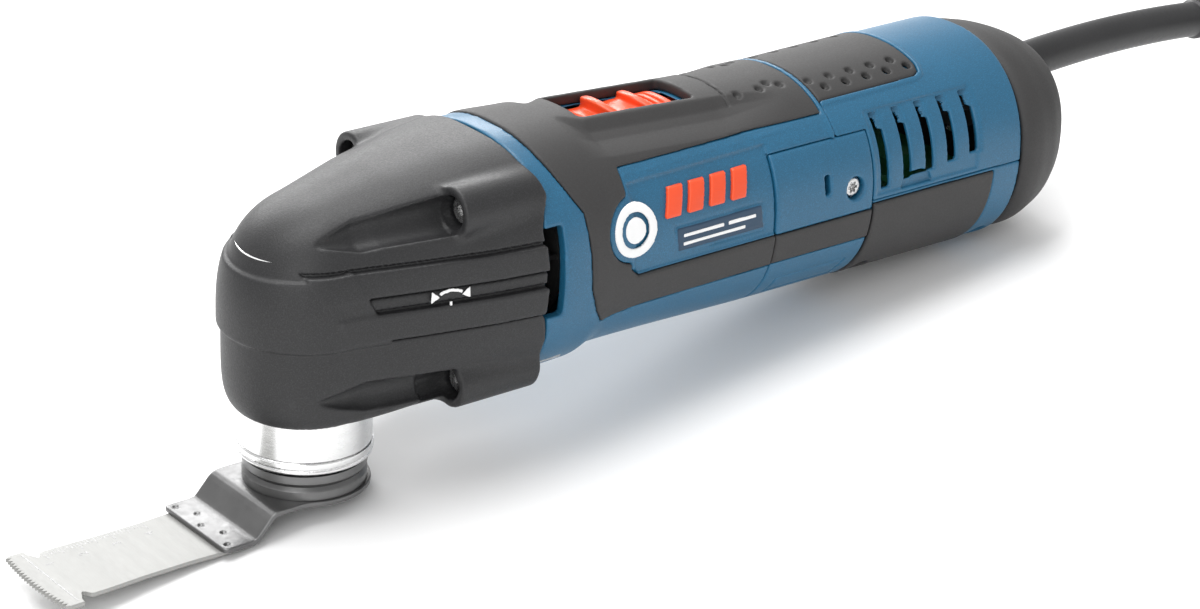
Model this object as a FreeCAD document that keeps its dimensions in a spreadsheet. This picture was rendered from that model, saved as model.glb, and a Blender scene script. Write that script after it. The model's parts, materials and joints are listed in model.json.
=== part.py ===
"""Oscillating multi tool: an assembly of separate pieces, in millimetres.

The tool is designed in its own frame: the origin is where the spindle's axis meets the tool flange's
lower face, +X runs to the tail and +Z up the spindle. One placement then stands it on its blade
carrier and its tail. The cord's free pieces are designed directly in the standing frame.
"""
import FreeCAD, Part
import math
import os
import re
import Sketcher

SIZES = {
    # how the tool stands
    "stand_tilt": 6.43, "stand_shift": -135.3, "stand_lift": 6.375,
    # spindle and what turns with it
    "spindle_radius": 7.5, "spindle_foot_radius": 5.0, "spindle_foot": 4.4, "spindle_neck": 60.0,
    "spindle_tip_radius": 4.0, "spindle_top": 66.8, "bolt_radius": 2.5, "thread_end": 20.0,
    "flange_radius": 17.03, "flange_height": 7.0, "flange_groove": 0.8, "flange_groove_height": 3.6,
    "flange_groove_half": 1.2, "flange_cup_mouth": 15.6, "flange_cup_floor": 13.4,
    "flange_cup_depth": 4.4,
    "bolt_head_radius": 5.0, "bolt_head_foot": -3.4, "washer_radius": 9.6, "washer_foot": 0.5,
    "washer_top": 2.3, "bolt_end": 18.0, "key_radius": 2.6, "key_depth": 2.4,
    "fork_hub_radius": 11.0, "fork_foot": 47.0, "fork_top": 59.0, "tine_gap": 8.8,
    "tine_thick": 3.8, "tine_end": 36.0, "tine_root": 4.0,
    # blade and its carrier
    "plate_thick": 1.5, "plate_radius": 18.0, "bend_top_x": -20.3, "bend_low_x": -26.1,
    "low_plate_top": -6.47, "plate_front": -35.2, "plate_half_width": 15.4,
    "star_points": 12, "star_base_tip": 15.0, "star_base_root": 13.6, "star_top_tip": 12.6,
    "star_top_root": 11.4, "star_height": 3.8, "star_skin": 1.3, "hub_hole_radius": 4.6,
    "blade_thick": 1.2, "blade_top": -7.97, "blade_rear": -24.5, "blade_neck_half": 13.4,
    "blade_head_half": 16.0, "blade_head_rear": -73.5, "blade_tip": -84.5, "tooth_pitch": 1.45,
    "tooth_depth": 1.3, "tooth_arc_radius": 95.0, "blade_notch": 2.2,
    # head
    "neck_radius": 18.3, "neck_foot": 12.0, "neck_top": 26.0, "ring_radius": 18.66,
    "ring_foot": 8.2, "ring_shoulder": 11.6, "ring_groove_radius": 17.6, "seal_radius": 10.5,
    "seal_bore": 7.6, "seal_foot": 8.6, "lower_bearing_radius": 14.0, "lower_bearing_foot": 12.2,
    "lower_bearing_height": 7.0, "upper_bearing_radius": 11.0, "upper_bearing_foot": 60.2,
    "upper_bearing_height": 7.0, "running_gap": 0.05,
    "gear_post_radius": 18.6, "gear_post_foot": 24.0, "gear_post_top": 69.0, "gear_roof": 1.6,
    "gear_barrel_radius": 24.0, "gear_cone_front": 2.0, "gear_cone_radius": 20.0,
    "gear_barrel_front": 17.0, "gear_flange_radius": 27.0,
    "gear_flange_front": 49.5, "gear_rear": 54.0, "gear_well_radius": 15.6, "gear_well_foot": 27.0,
    "gear_well_top": 59.6, "gear_bore_radius": 17.0, "gear_bore_end": 44.6, "gear_throat": 9.0,
    "axis_height": 53.0,
    "head_wall": 2.4,
    "head_rear": 57.0, "pod_radius": 6.2, "pod_y": 23.5, "pod_z": 24.5, "pod_front": 30.0,
    "screw_radius": 2.0, "screw_head_radius": 3.6, "screw_head_height": 2.6, "screw_seat": 36.0,
    "screw_end": 67.0, "boss_radius": 4.4,
    # housing
    "ring_front": 57.4, "collar_rear": 68.0, "body_seam": 163.0, "body_rear": 234.4,
    "grip_depth": 1.6, "shell_depth": 4.2, "lap": 0.15,
    "window_front": 84.0, "window_foot": 50.0, "window_top": 78.0, "strip_foot": 38.0,
    "grip_front_top": 66.0, "grip_front_foot": 49.7, "slot_inner": 26.0,
    "cover_front": 137.6, "cover_rear": 174.8, "cover_top": 72.2, "strip_low": 40.0,
    "strip_high": 49.5, "bay_front": 84.0, "bay_rear": 125.0, "bay_half": 8.2,
    "cover_screw_x": 167.7, "cover_screw_y": 30.4, "cover_screw_z": 57.2, "cover_screw_length": 14.0,
    "seat_tube_radius": 26.2, "seat_rib_half": 1.5, "seat_front": 79.0, "seat_rear": 123.0,
    "shell_split": 52.0, "grip_rear": 204.0, "grip_half": 19.3, "low_grip_rear": 223.6,
    "low_grip_top": 51.0, "vent_first": 178.0, "vent_pitch": 8.9, "vent_count": 5,
    "vent_width": 3.4, "vent_rise": 0.9, "vent_foot": 55.0, "vent_top": 71.0,
    "post_x_front": 181.0, "post_x_rear": 229.6, "post_y": 21.0, "post_radius": 3.6,
    "post_foot": 12.0, "post_top": 82.0, "housing_screw_head": 3.0, "housing_screw_radius": 1.5,
    "housing_screw_foot": 32.0, "housing_screw_top": 60.0,
    # motor
    "shaft_radius": 4.0, "shaft_stub_radius": 3.0, "shaft_front": 24.5, "shaft_shoulder": 38.0,
    "shaft_rear_shoulder": 170.6, "shaft_rear": 180.0, "throw": 0.8, "bush_radius": 4.5,
    "bush_front": 26.5, "bush_rear": 34.5, "roller_radius": 7.0, "roller_front": 27.5,
    "roller_rear": 33.5, "weight_front": 38.6, "weight_rear": 43.6, "weight_radius": 10.0,
    "front_bearing_radius": 11.0, "front_bearing_x": 46.0, "front_bearing_width": 7.0,
    "rear_bearing_radius": 9.5, "rear_bearing_x": 171.6, "rear_bearing_width": 6.0,
    "rear_bearing_bore": 3.0, "fan_front": 58.0, "fan_rear": 68.0, "fan_radius": 23.6,
    "fan_hub_radius": 7.5, "fan_disc": 1.4, "fan_blades": 11, "fan_blade_thick": 1.4,
    "stator_radius": 24.0, "stator_bore": 13.7, "stator_front": 80.0, "stator_rear": 122.0,
    "coil_inner": 14.6, "coil_outer": 19.4, "coil_half": 12.5,
    "coil_window_half": 6.5, "coil_overhang": 6.0, "coil_clear": 0.3,
    "core_radius": 13.2, "slot_count": 12, "slot_depth": 4.5, "slot_width": 1.8,
    "winding_radius": 12.2, "winding_overhang": 7.5, "commutator_radius": 9.0,
    "commutator_front": 147.0, "commutator_rear": 163.0, "riser_radius": 10.4, "riser_width": 2.4,
    "bar_groove": 0.6, "brush_x": 156.0, "brush_half_x": 3.2, "brush_half_z": 4.0,
    "brush_tip": 9.15, "brush_tail": 19.0, "holder_wall": 1.0, "holder_front": 11.2,
    "holder_rear": 26.6, "holder_gap": 0.1, "coil_spring_radius": 2.6, "coil_spring_bore": 1.9,
    "bracket_radius": 24.5, "bracket_front": 171.0, "bracket_disc": 3.0, "bracket_hub": 12.5,
    "bracket_rear": 178.0,
    # controls
    "slider_front": 90.4, "slider_rear": 121.0, "slider_half": 7.6, "slider_foot": 79.4,
    "slider_plate_top": 80.9, "slider_plate_front": 80.0, "slider_plate_rear": 132.5,
    "slider_top": 85.4, "rib_first": 97.0, "rib_second": 110.0,
    "rib_half": 1.6, "rib_top": 88.6, "rod_half": 2.6, "rod_foot": 78.8, "rod_top": 80.6,
    "switch_front": 197.0, "switch_rear": 221.0, "switch_half": 8.0,
    "switch_foot": 70.5, "switch_top": 79.5, "button_front": 190.4, "button_low": 72.5,
    "button_high": 77.0, "rod_arm_foot": 71.5, "rod_arm_front": 186.0, "rod_arm_rear": 190.0,
    "dial_x": 215.0, "dial_y": 24.8, "dial_foot": 60.0, "dial_top": 65.0, "dial_radius": 9.6,
    "dial_notch": 0.9, "dial_notches": 24, "dial_slot_gap": 0.5, "dial_bore": 1.6,
    "pot_radius": 3.6, "pot_top": 58.8, "pot_shaft": 1.5, "board_front": 193.0,
    "board_rear": 225.0, "board_foot": 47.4, "board_thick": 1.6, "board_near": -19.0,
    "board_far": 28.0, "chip_height": 5.0, "capacitor_radius": 5.5, "capacitor_length": 22.0,
    # tail and cord
    "cap_rear": 262.0, "cap_wall": 3.0, "cap_hole": 6.3,
    "sleeve_radius": 5.8, "sleeve_arc": 461.0, "sleeve_apex_x": 303.6, "sleeve_apex_z": 68.4,
    "sleeve_front": 240.0, "sleeve_rear": 349.0, "lip_length": 4.0, "lip_radius": 6.5,
    "collar_radius": 9.0, "collar_width": 4.0,
    "clamp_front": 226.0, "clamp_rear": 236.0, "clamp_half": 14.0, "clamp_foot": 57.5,
    "clamp_height": 5.4, "clamp_screw_inset": 4.0,
    "cord_radius": 3.5, "coil_x": 330.0, "coil_y": -19.0, "coil_low": 1.6,
    "coil_high": 20.9, "coil_in": 26.4, "coil_out": 54.6, "coil_shoulder": 6.0,
    "tie_thick": 1.0, "tie_width": 12.0, "tie_gap": 0.3,
    "plug_x": 308.0, "plug_y": -54.0, "plug_z": 34.6, "plug_width": 36.0, "plug_height": 26.6,
    "plug_length": 31.0, "plug_corner": 10.0, "plug_neck_length": 22.0, "plug_neck_radius": 5.2,
    "plug_neck_root": 8.0, "pin_radius": 2.4, "pin_length": 19.0, "pin_spacing": 19.0,
    # emblems
    "badge_x": 85.6, "badge_z": 63.0, "badge_radius": 7.6, "badge_proud": 0.4,
    "bar_front": 96.0, "bar_pitch": 7.6, "bar_width": 5.0, "bar_foot": 63.5, "bar_top": 71.5,
    "bar_lean": 2.4, "bar_count": 4, "bar_proud": 0.7,
}

# The casings' outline: a section at each x, with its half width, top, bottom and the power of its
# superellipse below the middle, which is higher where the bottom is flatter.
HEAD_SECTIONS = [
    (-22.3, 2.4, 58.0, 24.0, 3.0), (-21.2, 7.5, 65.0, 22.0, 4.0), (-18.0, 13.5, 71.0, 20.6, 5.0),
    (-13.0, 18.3, 75.2, 20.0, 6.0), (-7.0, 21.4, 78.4, 20.0, 6.0), (0.0, 22.5, 80.5, 20.0, 6.0),
    (10.0, 25.0, 83.0, 20.0, 5.0), (20.0, 27.5, 85.0, 20.0, 4.0), (30.0, 30.0, 86.7, 19.8, 3.4),
    (40.0, 32.0, 88.0, 19.6, 3.0), (50.0, 33.6, 88.8, 19.2, 2.7), (57.0, 34.6, 89.3, 18.8, 2.5),
]
BODY_SECTIONS = [
    (57.4, 34.7, 89.4, 18.7, 2.3), (63.0, 35.0, 89.4, 18.8, 2.3), (70.0, 34.5, 89.0, 19.5, 2.3),
    (85.0, 33.5, 89.0, 21.0, 2.3), (136.0, 33.0, 86.0, 20.5, 2.3), (163.0, 33.0, 85.5, 20.0, 2.3),
    (204.0, 33.0, 86.0, 20.0, 2.3), (234.4, 33.3, 86.0, 20.0, 2.3),
]
CAP_SECTIONS = [
    (234.6, 35.0, 83.8, 21.2, 2.3), (241.0, 35.0, 83.6, 21.4, 2.3), (248.0, 33.6, 82.4, 22.8, 2.3),
    (254.0, 31.0, 80.4, 26.0, 2.3), (258.6, 27.4, 78.4, 30.0, 2.3), (262.0, 23.0, 76.4, 34.5, 2.3),
]
HEAD_POWER = 2.9
BODY_POWER = 2.3
SECTION_POINTS = 28

# The free cord's route in the standing frame, from the sleeve to the coil and from the coil to the plug.
LEAD_ROUTE = [
    (218.9, 0.0, 33.0), (245.0, -1.0, 27.6), (272.0, 4.0, 18.5), (300.0, 24.0, 8.5), (330.0, 32.0, 5.1),
]
TAIL_ROUTE = [
    (330.0, 18.0, 17.8), (359.9, 18.0, 24.5), (381.0, -3.1, 28.0), (381.0, -32.9, 31.5),
    (359.9, -54.0, 34.3), (330.0, -54.0, 34.6),
]

doc = FreeCAD.newDocument("multi_tool")
sheet = doc.addObject("Spreadsheet::Sheet", "Sizes")
for row, (alias, value) in enumerate(SIZES.items(), start=1):
    sheet.set(f"A{row}", alias)
    sheet.set(f"B{row}", str(value))
    sheet.setAlias(f"B{row}", alias)
doc.recompute()


def named(words):
    """The expression with each cell's name led by the sheet's."""
    return re.sub(r"[a-z_][a-z_0-9]*", r"Sizes.\g<0>", words)


def size(words):
    """The value of an expression made of cell names, in millimetres."""
    return float(sheet.evalExpression(named(words)))


def bind(item, prop, words):
    """Binds a property of an object to an expression made of cell names."""
    item.setExpression(prop, named(words))


def vector(x, y, z):
    return FreeCAD.Vector(x, y, z)


STAND = FreeCAD.Placement(
    vector(size("stand_shift"), 0, size("stand_lift")),
    FreeCAD.Rotation(vector(0, 1, 0), size("stand_tilt")),
)
SPINDLE = FreeCAD.Placement()
ROTOR = FreeCAD.Placement(
    vector(0, 0, size("axis_height")), FreeCAD.Rotation(vector(0, 1, 0), 90)
)
THROWN = FreeCAD.Placement(
    vector(0, 0, size("axis_height + throw")), FreeCAD.Rotation(vector(0, 1, 0), 90)
)
pieces = []


def keep(item, label, seat=SPINDLE, pose=STAND):
    """Names a finished sub-part and stands it with the rest."""
    item.Label = label
    item.Placement = pose.multiply(seat)
    pieces.append(item)
    return item


def outline_sketch(body, outline, role):
    """A closed outline of straight sides, every corner held by the sheet's values."""
    sketch = body.newObject("Sketcher::SketchObject", "Outline")
    plane = next(item for item in body.Origin.OriginFeatures if item.Role == role)
    sketch.AttachmentSupport = [(plane, "")]
    sketch.MapMode = "FlatFace"
    corners = [vector(size(across), size(up), 0) for across, up in outline]
    for start, end in zip(corners, corners[1:] + corners[:1]):
        sketch.addGeometry(Part.LineSegment(start, end), False)
    count = len(corners)
    for index in range(count):
        sketch.addConstraint(Sketcher.Constraint("Coincident", index, 2, (index + 1) % count, 1))
    for index, (corner, words) in enumerate(zip(corners, outline)):
        for kind, value, word, axis in (
            ("DistanceX", corner.x, words[0], -2), ("DistanceY", corner.y, words[1], -1)
        ):
            if value == 0:
                sketch.addConstraint(Sketcher.Constraint("PointOnObject", index, 1, axis))
            else:
                held = sketch.addConstraint(Sketcher.Constraint(kind, -1, 1, index, 1, value))
                bind(sketch, f"Constraints[{held}]", word)
    return sketch


def turned(name, outline):
    """A body of revolution about its own Z axis, from an outline of (radius, height) corners."""
    body = doc.addObject("PartDesign::Body", name)
    sketch = outline_sketch(body, outline, "XZ_Plane")
    turn = body.newObject("PartDesign::Revolution", "Turn")
    turn.Profile = sketch
    turn.ReferenceAxis = (sketch, ["V_Axis"])
    turn.Angle = 360
    return body


def sleeve(name, bore, radius, start, end):
    """A plain tube, turned from its bore, radius and two ends."""
    return turned(name, [(bore, start), (radius, start), (radius, end), (bore, end)])


def box(x_ends, y_ends, z_ends):
    """A box between two expressions along each axis."""
    item = doc.addObject("Part::Box", "Box")
    for side, axis, (low, high) in zip(
        ("Length", "Width", "Height"), "xyz", (x_ends, y_ends, z_ends)
    ):
        bind(item, side, f"({high}) - ({low})")
        bind(item, f"Placement.Base.{axis}", low)
    return item


def rod(radius, start, end, across, up, axis="x"):
    """A round bar along one axis, at two expressions across it (y and z, x and z, or x and y)."""
    item = doc.addObject("Part::Cylinder", "Rod")
    bind(item, "Radius", radius)
    bind(item, "Height", f"({end}) - ({start})")
    turns = {
        "x": FreeCAD.Rotation(vector(0, 1, 0), 90),
        "y": FreeCAD.Rotation(vector(1, 0, 0), -90),
        "z": FreeCAD.Rotation(),
    }
    item.Placement = FreeCAD.Placement(vector(0, 0, 0), turns[axis])
    places = {"x": (start, across, up), "y": (across, start, up), "z": (across, up, start)}
    for name, words in zip("xyz", places[axis]):
        bind(item, f"Placement.Base.{name}", words)
    return item


def cone(front_radius, rear_radius, start, end, up):
    """A cone along the tool, in its upright middle plane."""
    item = doc.addObject("Part::Cone", "Cone")
    bind(item, "Radius1", front_radius)
    bind(item, "Radius2", rear_radius)
    bind(item, "Height", f"({end}) - ({start})")
    item.Placement = FreeCAD.Placement(vector(0, 0, 0), FreeCAD.Rotation(vector(0, 1, 0), 90))
    bind(item, "Placement.Base.x", start)
    bind(item, "Placement.Base.z", up)
    return item


def joined(*items):
    item = doc.addObject("Part::MultiFuse", "Joined")
    item.Shapes = list(items)
    return item


def cut(base, *tools):
    item = doc.addObject("Part::Cut", "Cut")
    item.Base = base
    item.Tool = tools[0] if len(tools) == 1 else joined(*tools)
    return item


def group(*items):
    """Several separate solids that are one kind of piece."""
    item = doc.addObject("Part::Compound", "Group")
    item.Links = list(items)
    return item


def shaped(shape, name="Shape"):
    item = doc.addObject("Part::Feature", name)
    item.Shape = shape
    return item


# ---- the outline that the casings share ----

def section(x, half, top, low, low_power, power, depth):
    """A closed smooth section across the tool: a superellipse, drawn in by a depth."""
    middle = (top + low) / 2
    points = []
    for index in range(SECTION_POINTS):
        angle = 2 * math.pi * index / SECTION_POINTS
        across, up = math.cos(angle), math.sin(angle)
        bend = 2 / (power if up > 0 else low_power)
        points.append(vector(
            x,
            math.copysign(abs(across) ** bend, across) * (half - depth),
            middle + math.copysign(abs(up) ** bend, up) * ((top - low) / 2 - depth),
        ))
    curve = Part.BSplineCurve()
    curve.interpolate(points, PeriodicFlag=True)
    return Part.Wire([curve.toShape()])


def section_at(sections, x):
    """The half width, top and bottom at any x, straight between the listed sections."""
    if x <= sections[0][0]:
        return sections[0][1:]
    for before, after in zip(sections, sections[1:]):
        if x <= after[0]:
            share = (x - before[0]) / (after[0] - before[0])
            return [a + share * (b - a) for a, b in zip(before[1:], after[1:])]
    return sections[-1][1:]


def hull(sections, power, front, rear, depth=0.0):
    """The solid inside the outline between two places along the tool."""
    places = [front] + [s[0] for s in sections if front + 0.5 < s[0] < rear - 0.5] + [rear]
    wires = [section(x, *section_at(sections, x), power, depth) for x in places]
    return Part.makeLoft(wires, True, True)


def body_hull(front, rear, depth=0.0):
    return hull(BODY_SECTIONS, BODY_POWER, size(front), size(rear), depth)


def layer(front, rear, lift=0.0):
    """The outermost layer of the body, where the soft grips lie."""
    outer = body_hull(front, rear, -lift)
    inner = hull(BODY_SECTIONS, BODY_POWER, size(front) - 1, size(rear) + 1, size("grip_depth"))
    return outer.cut(inner)


def slab(x_ends, y_ends, z_ends):
    """A box as a bare shape, from plain numbers."""
    return Part.makeBox(
        x_ends[1] - x_ends[0], y_ends[1] - y_ends[0], z_ends[1] - z_ends[0],
        vector(x_ends[0], y_ends[0], z_ends[0]),
    )


WIDE = 60.0
FAR = 140.0
MIDDLE = size("axis_height")

# ---- spindle, blade and what turns with them ----

spindle = turned("Spindle", [
    ("bolt_radius", "spindle_foot"), ("spindle_foot_radius", "spindle_foot"),
    ("spindle_foot_radius", "flange_height"), ("spindle_radius", "flange_height"),
    ("spindle_radius", "spindle_neck"), ("spindle_tip_radius", "spindle_neck"),
    ("spindle_tip_radius", "spindle_top"), ("0", "spindle_top"), ("0", "thread_end"),
    ("bolt_radius", "thread_end"),
])
keep(spindle, "spindle")

flange = turned("Flange", [
    ("spindle_foot_radius", "flange_cup_depth"), ("flange_cup_floor", "flange_cup_depth"),
    ("flange_cup_mouth", "0"), ("flange_radius", "0"),
    ("flange_radius", "flange_groove_height - flange_groove_half"),
    ("flange_radius - flange_groove", "flange_groove_height"),
    ("flange_radius", "flange_groove_height + flange_groove_half"),
    ("flange_radius", "flange_height"), ("spindle_foot_radius", "flange_height"),
])
keep(flange, "tool_flange")

fork = cut(
    joined(
        rod("fork_hub_radius", "fork_foot", "fork_top", "0", "0", "z"),
        box(("tine_root", "tine_end"), ("tine_gap", "tine_gap + tine_thick"), ("fork_foot", "fork_top")),
        box(("tine_root", "tine_end"), ("0 - tine_gap - tine_thick", "0 - tine_gap"),
            ("fork_foot", "fork_top")),
    ),
    rod("spindle_radius", "fork_foot", "fork_top", "0", "0", "z"),
)
keep(fork, "fork_lever")

bolt = cut(
    joined(
        rod("bolt_radius", "washer_foot", "bolt_end", "0", "0", "z"),
        rod("bolt_head_radius", "bolt_head_foot", "washer_foot", "0", "0", "z"),
    ),
    rod("key_radius", "bolt_head_foot", "bolt_head_foot + key_depth", "0", "0", "z"),
)
keep(bolt, "clamp_bolt")
keep(sleeve("Washer", "bolt_radius", "washer_radius", "washer_foot", "washer_top"), "clamp_washer")


def star(tip, root, height):
    """The outline of the star-shaped seat in the blade's hub, at one height."""
    count = 2 * int(size("star_points"))
    corners = []
    for index in range(count):
        reach = tip if index % 2 == 0 else root
        angle = 2 * math.pi * index / count
        corners.append(vector(reach * math.cos(angle), reach * math.sin(angle), height))
    return Part.makePolygon(corners + corners[:1])


def star_cup():
    """A hollow star-shaped cone that rises from the hub plate into the tool flange."""
    foot, top, skin = -size("plate_thick"), size("star_height"), size("star_skin")
    slope = (size("star_base_tip") - size("star_top_tip")) / top
    drop = slope * size("plate_thick")
    outer = Part.makeLoft([
        star(size("star_base_tip") + drop, size("star_base_root") + drop, foot),
        star(size("star_top_tip"), size("star_top_root"), top),
    ], True, True)
    inner = Part.makeLoft([
        star(size("star_base_tip") + drop - skin, size("star_base_root") + drop - skin, foot),
        star(size("star_top_tip") - skin + slope * skin, size("star_top_root") - skin, top - skin),
    ], True, True)
    hole = Part.makeCylinder(size("hub_hole_radius"), 20, vector(0, 0, -10))
    return outer, outer.cut(inner).cut(hole)


def carrier_shape():
    """The cranked plate that lifts the hub over the blade, cut to its plan outline."""
    thick, rise = size("plate_thick"), size("plate_thick") * 0.35
    top_x, low_x = size("bend_top_x"), size("bend_low_x")
    low, front = size("low_plate_top"), size("plate_front")
    rear = size("plate_radius")
    side = Part.Face(Part.makePolygon([
        vector(rear, 0, 0), vector(top_x, 0, 0), vector(low_x, 0, low), vector(front, 0, low),
        vector(front, 0, low - thick), vector(low_x + rise, 0, low - thick),
        vector(top_x + rise, 0, -thick), vector(rear, 0, -thick), vector(rear, 0, 0),
    ]))
    crank = side.extrude(vector(0, 2 * WIDE, 0))
    crank.translate(vector(0, -WIDE, 0))
    half = size("plate_half_width")
    plan = Part.makeCylinder(rear, WIDE, vector(0, 0, -WIDE / 2))
    plan = plan.fuse(slab((front, 0), (-half, half), (-WIDE / 2, WIDE / 2)))
    outer, cup = star_cup()
    return crank.common(plan).cut(outer).fuse(cup).removeSplitter()


keep(shaped(carrier_shape()), "blade_carrier")


def blade_shape():
    """The saw blade: a waisted strip with a wide toothed head on a shallow arc."""
    neck, head = size("blade_neck_half"), size("blade_head_half")
    rear, shoulder, tip = size("blade_rear"), size("blade_head_rear"), size("blade_tip")
    notch, reach = size("blade_notch"), size("tooth_arc_radius")
    teeth = int(2 * head / size("tooth_pitch"))
    near_side = [
        (rear, neck), (shoulder, neck), (shoulder - notch, neck - notch),
        (shoulder - 2 * notch, neck), (shoulder - 2 * notch, head),
    ]
    edge = []
    for index in range(2 * teeth + 1):
        y = head - index * head / teeth
        sag = reach - math.sqrt(reach ** 2 - y ** 2)
        edge.append((tip + sag + (size("tooth_depth") if index % 2 == 0 else 0.0), y))
    outline = near_side + edge + [(x, -y) for x, y in reversed(near_side)]
    corners = [vector(x, y, size("blade_top - blade_thick")) for x, y in outline]
    face = Part.Face(Part.makePolygon(corners + corners[:1]))
    return face.extrude(vector(0, 0, size("blade_thick")))


keep(shaped(blade_shape()), "saw_blade")

# ---- head ----

gear_solid = joined(
    rod("neck_radius", "neck_foot", "neck_top", "0", "0", "z"),
    rod("gear_post_radius", "gear_post_foot", "gear_post_top", "0", "0", "z"),
    cone("gear_cone_radius", "gear_barrel_radius", "gear_cone_front", "gear_barrel_front", "axis_height"),
    rod("gear_barrel_radius", "gear_barrel_front", "gear_rear", "0", "axis_height"),
    rod("gear_flange_radius", "gear_flange_front", "gear_rear", "0", "axis_height"),
)
gear_housing = cut(
    gear_solid,
    rod("lower_bearing_radius", "neck_foot", "lower_bearing_foot + lower_bearing_height", "0", "0", "z"),
    rod("gear_throat", "neck_foot", "gear_well_foot + 1", "0", "0", "z"),
    rod("gear_well_radius", "gear_well_foot", "gear_well_top", "0", "0", "z"),
    rod("upper_bearing_radius", "gear_well_top - 1", "gear_post_top - gear_roof", "0", "0", "z"),
    rod("gear_bore_radius", "0", "gear_bore_end", "0", "axis_height"),
    rod("front_bearing_radius", "gear_bore_end - 1", "gear_rear", "0", "axis_height"),
)
keep(gear_housing, "gear_housing")

neck_ring = turned("NeckRing", [
    ("seal_radius", "ring_foot"), ("ring_radius", "ring_foot"), ("ring_radius", "ring_shoulder"),
    ("ring_groove_radius", "neck_foot"), ("seal_radius", "neck_foot"),
])
keep(neck_ring, "neck_ring")
keep(sleeve("Seal", "seal_bore", "seal_radius", "seal_foot", "ring_shoulder"), "spindle_seal")
keep(
    sleeve("LowerBearing", "spindle_radius + running_gap", "lower_bearing_radius",
           "lower_bearing_foot", "lower_bearing_foot + lower_bearing_height"),
    "lower_spindle_bearing",
)
keep(
    sleeve("UpperBearing", "spindle_tip_radius + running_gap", "upper_bearing_radius",
           "upper_bearing_foot", "upper_bearing_foot + upper_bearing_height"),
    "upper_spindle_bearing",
)

PODS = [(side, level) for side in (-1, 1) for level in (-1, 1)]


def pod_rod(radius, front, rear):
    """Four bars along the tool, one at each corner of the head."""
    bars = []
    for side, level in PODS:
        start = vector(
            size(front), side * size("pod_y"), size("axis_height") + level * size("pod_z")
        )
        length = size(f"({rear}) - ({front})")
        bars.append(Part.makeCylinder(size(radius), length, start, vector(1, 0, 0)))
    return bars


def head_shape():
    """A hollow cover over the gear housing, with a raised pod for each corner screw."""
    front, rear, wall = HEAD_SECTIONS[0][0], size("head_rear"), size("head_wall")
    outer = hull(HEAD_SECTIONS, HEAD_POWER, front, rear)
    inner = hull(HEAD_SECTIONS, HEAD_POWER, front + wall, rear + 1, wall)
    pods = pod_rod("pod_radius", "pod_front", "head_rear")
    post_room = Part.makeCylinder(size("gear_post_radius + running_gap"),
                                  size("gear_post_top + running_gap"), vector(0, 0, 0))
    tunnels = pod_rod("screw_radius + 0.2", "pod_front - 1", "head_rear + 1")
    mouths = pod_rod("screw_head_radius + 0.3", "pod_front - 20", "screw_seat + 0.2")
    return outer.cut(inner).fuse(pods).cut([post_room] + tunnels + mouths)


keep(shaped(head_shape()), "head_cover")


def screw(radius, head_radius, head_height, length, place, way, recessed=True):
    """A pan-head screw with a round key recess; its length is under the head."""
    shank = Part.makeCylinder(radius, length, place, way)
    head = Part.makeCylinder(head_radius, head_height, place - way * head_height, way)
    recess = Part.makeCylinder(radius * 0.8, head_height * 0.6, place - way * head_height, way)
    return shank.fuse(head).cut(recess) if recessed else shank.fuse(head)


def head_screw_shapes():
    screws = []
    for side, level in PODS:
        place = vector(
            size("screw_seat"), side * size("pod_y"), size("axis_height") + level * size("pod_z")
        )
        screws.append(screw(
            size("screw_radius"), size("screw_head_radius"), size("screw_head_height"),
            size("screw_end - screw_seat"), place, vector(1, 0, 0),
        ))
    return Part.makeCompound(screws)


keep(shaped(head_screw_shapes()), "head_screws")

# ---- housing and grips ----

cover_zone = slab(
    (size("cover_front - lap"), size("cover_rear + lap")), (-WIDE, WIDE), (0, size("cover_top + lap"))
)


def grip_outline(corners):
    """A side outline of (x, z) corners, through the whole width."""
    points = [vector(x, -WIDE, z) for x, z in corners]
    return Part.Face(Part.makePolygon(points + points[:1])).extrude(vector(0, 2 * WIDE, 0))


def overmould_shape():
    """The soft grip: a band behind the collar, the top round the switch, and a strip each side."""
    front, seam = size("collar_rear"), size("body_seam - lap")
    skin = layer("collar_rear", "body_seam - lap")
    top = size("window_top")
    zone = grip_outline([
        (front, FAR), (front, size("grip_front_top")),
        (size("collar_rear + 3"), size("grip_front_foot")), (size("window_front - 8"), size("strip_foot")),
        (size("cover_front - lap"), size("strip_foot + 1.5")),
        (size("cover_front - lap"), size("window_foot")),
        (size("window_front"), size("window_foot")), (size("window_front"), top),
        (seam, top), (seam, FAR),
    ])
    bay = slab((size("bay_front"), size("bay_rear")), (-size("bay_half"), size("bay_half")), (70, FAR))
    return skin.common(zone).cut(bay)


overmould = overmould_shape()
keep(shaped(overmould), "front_overmould")


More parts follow.
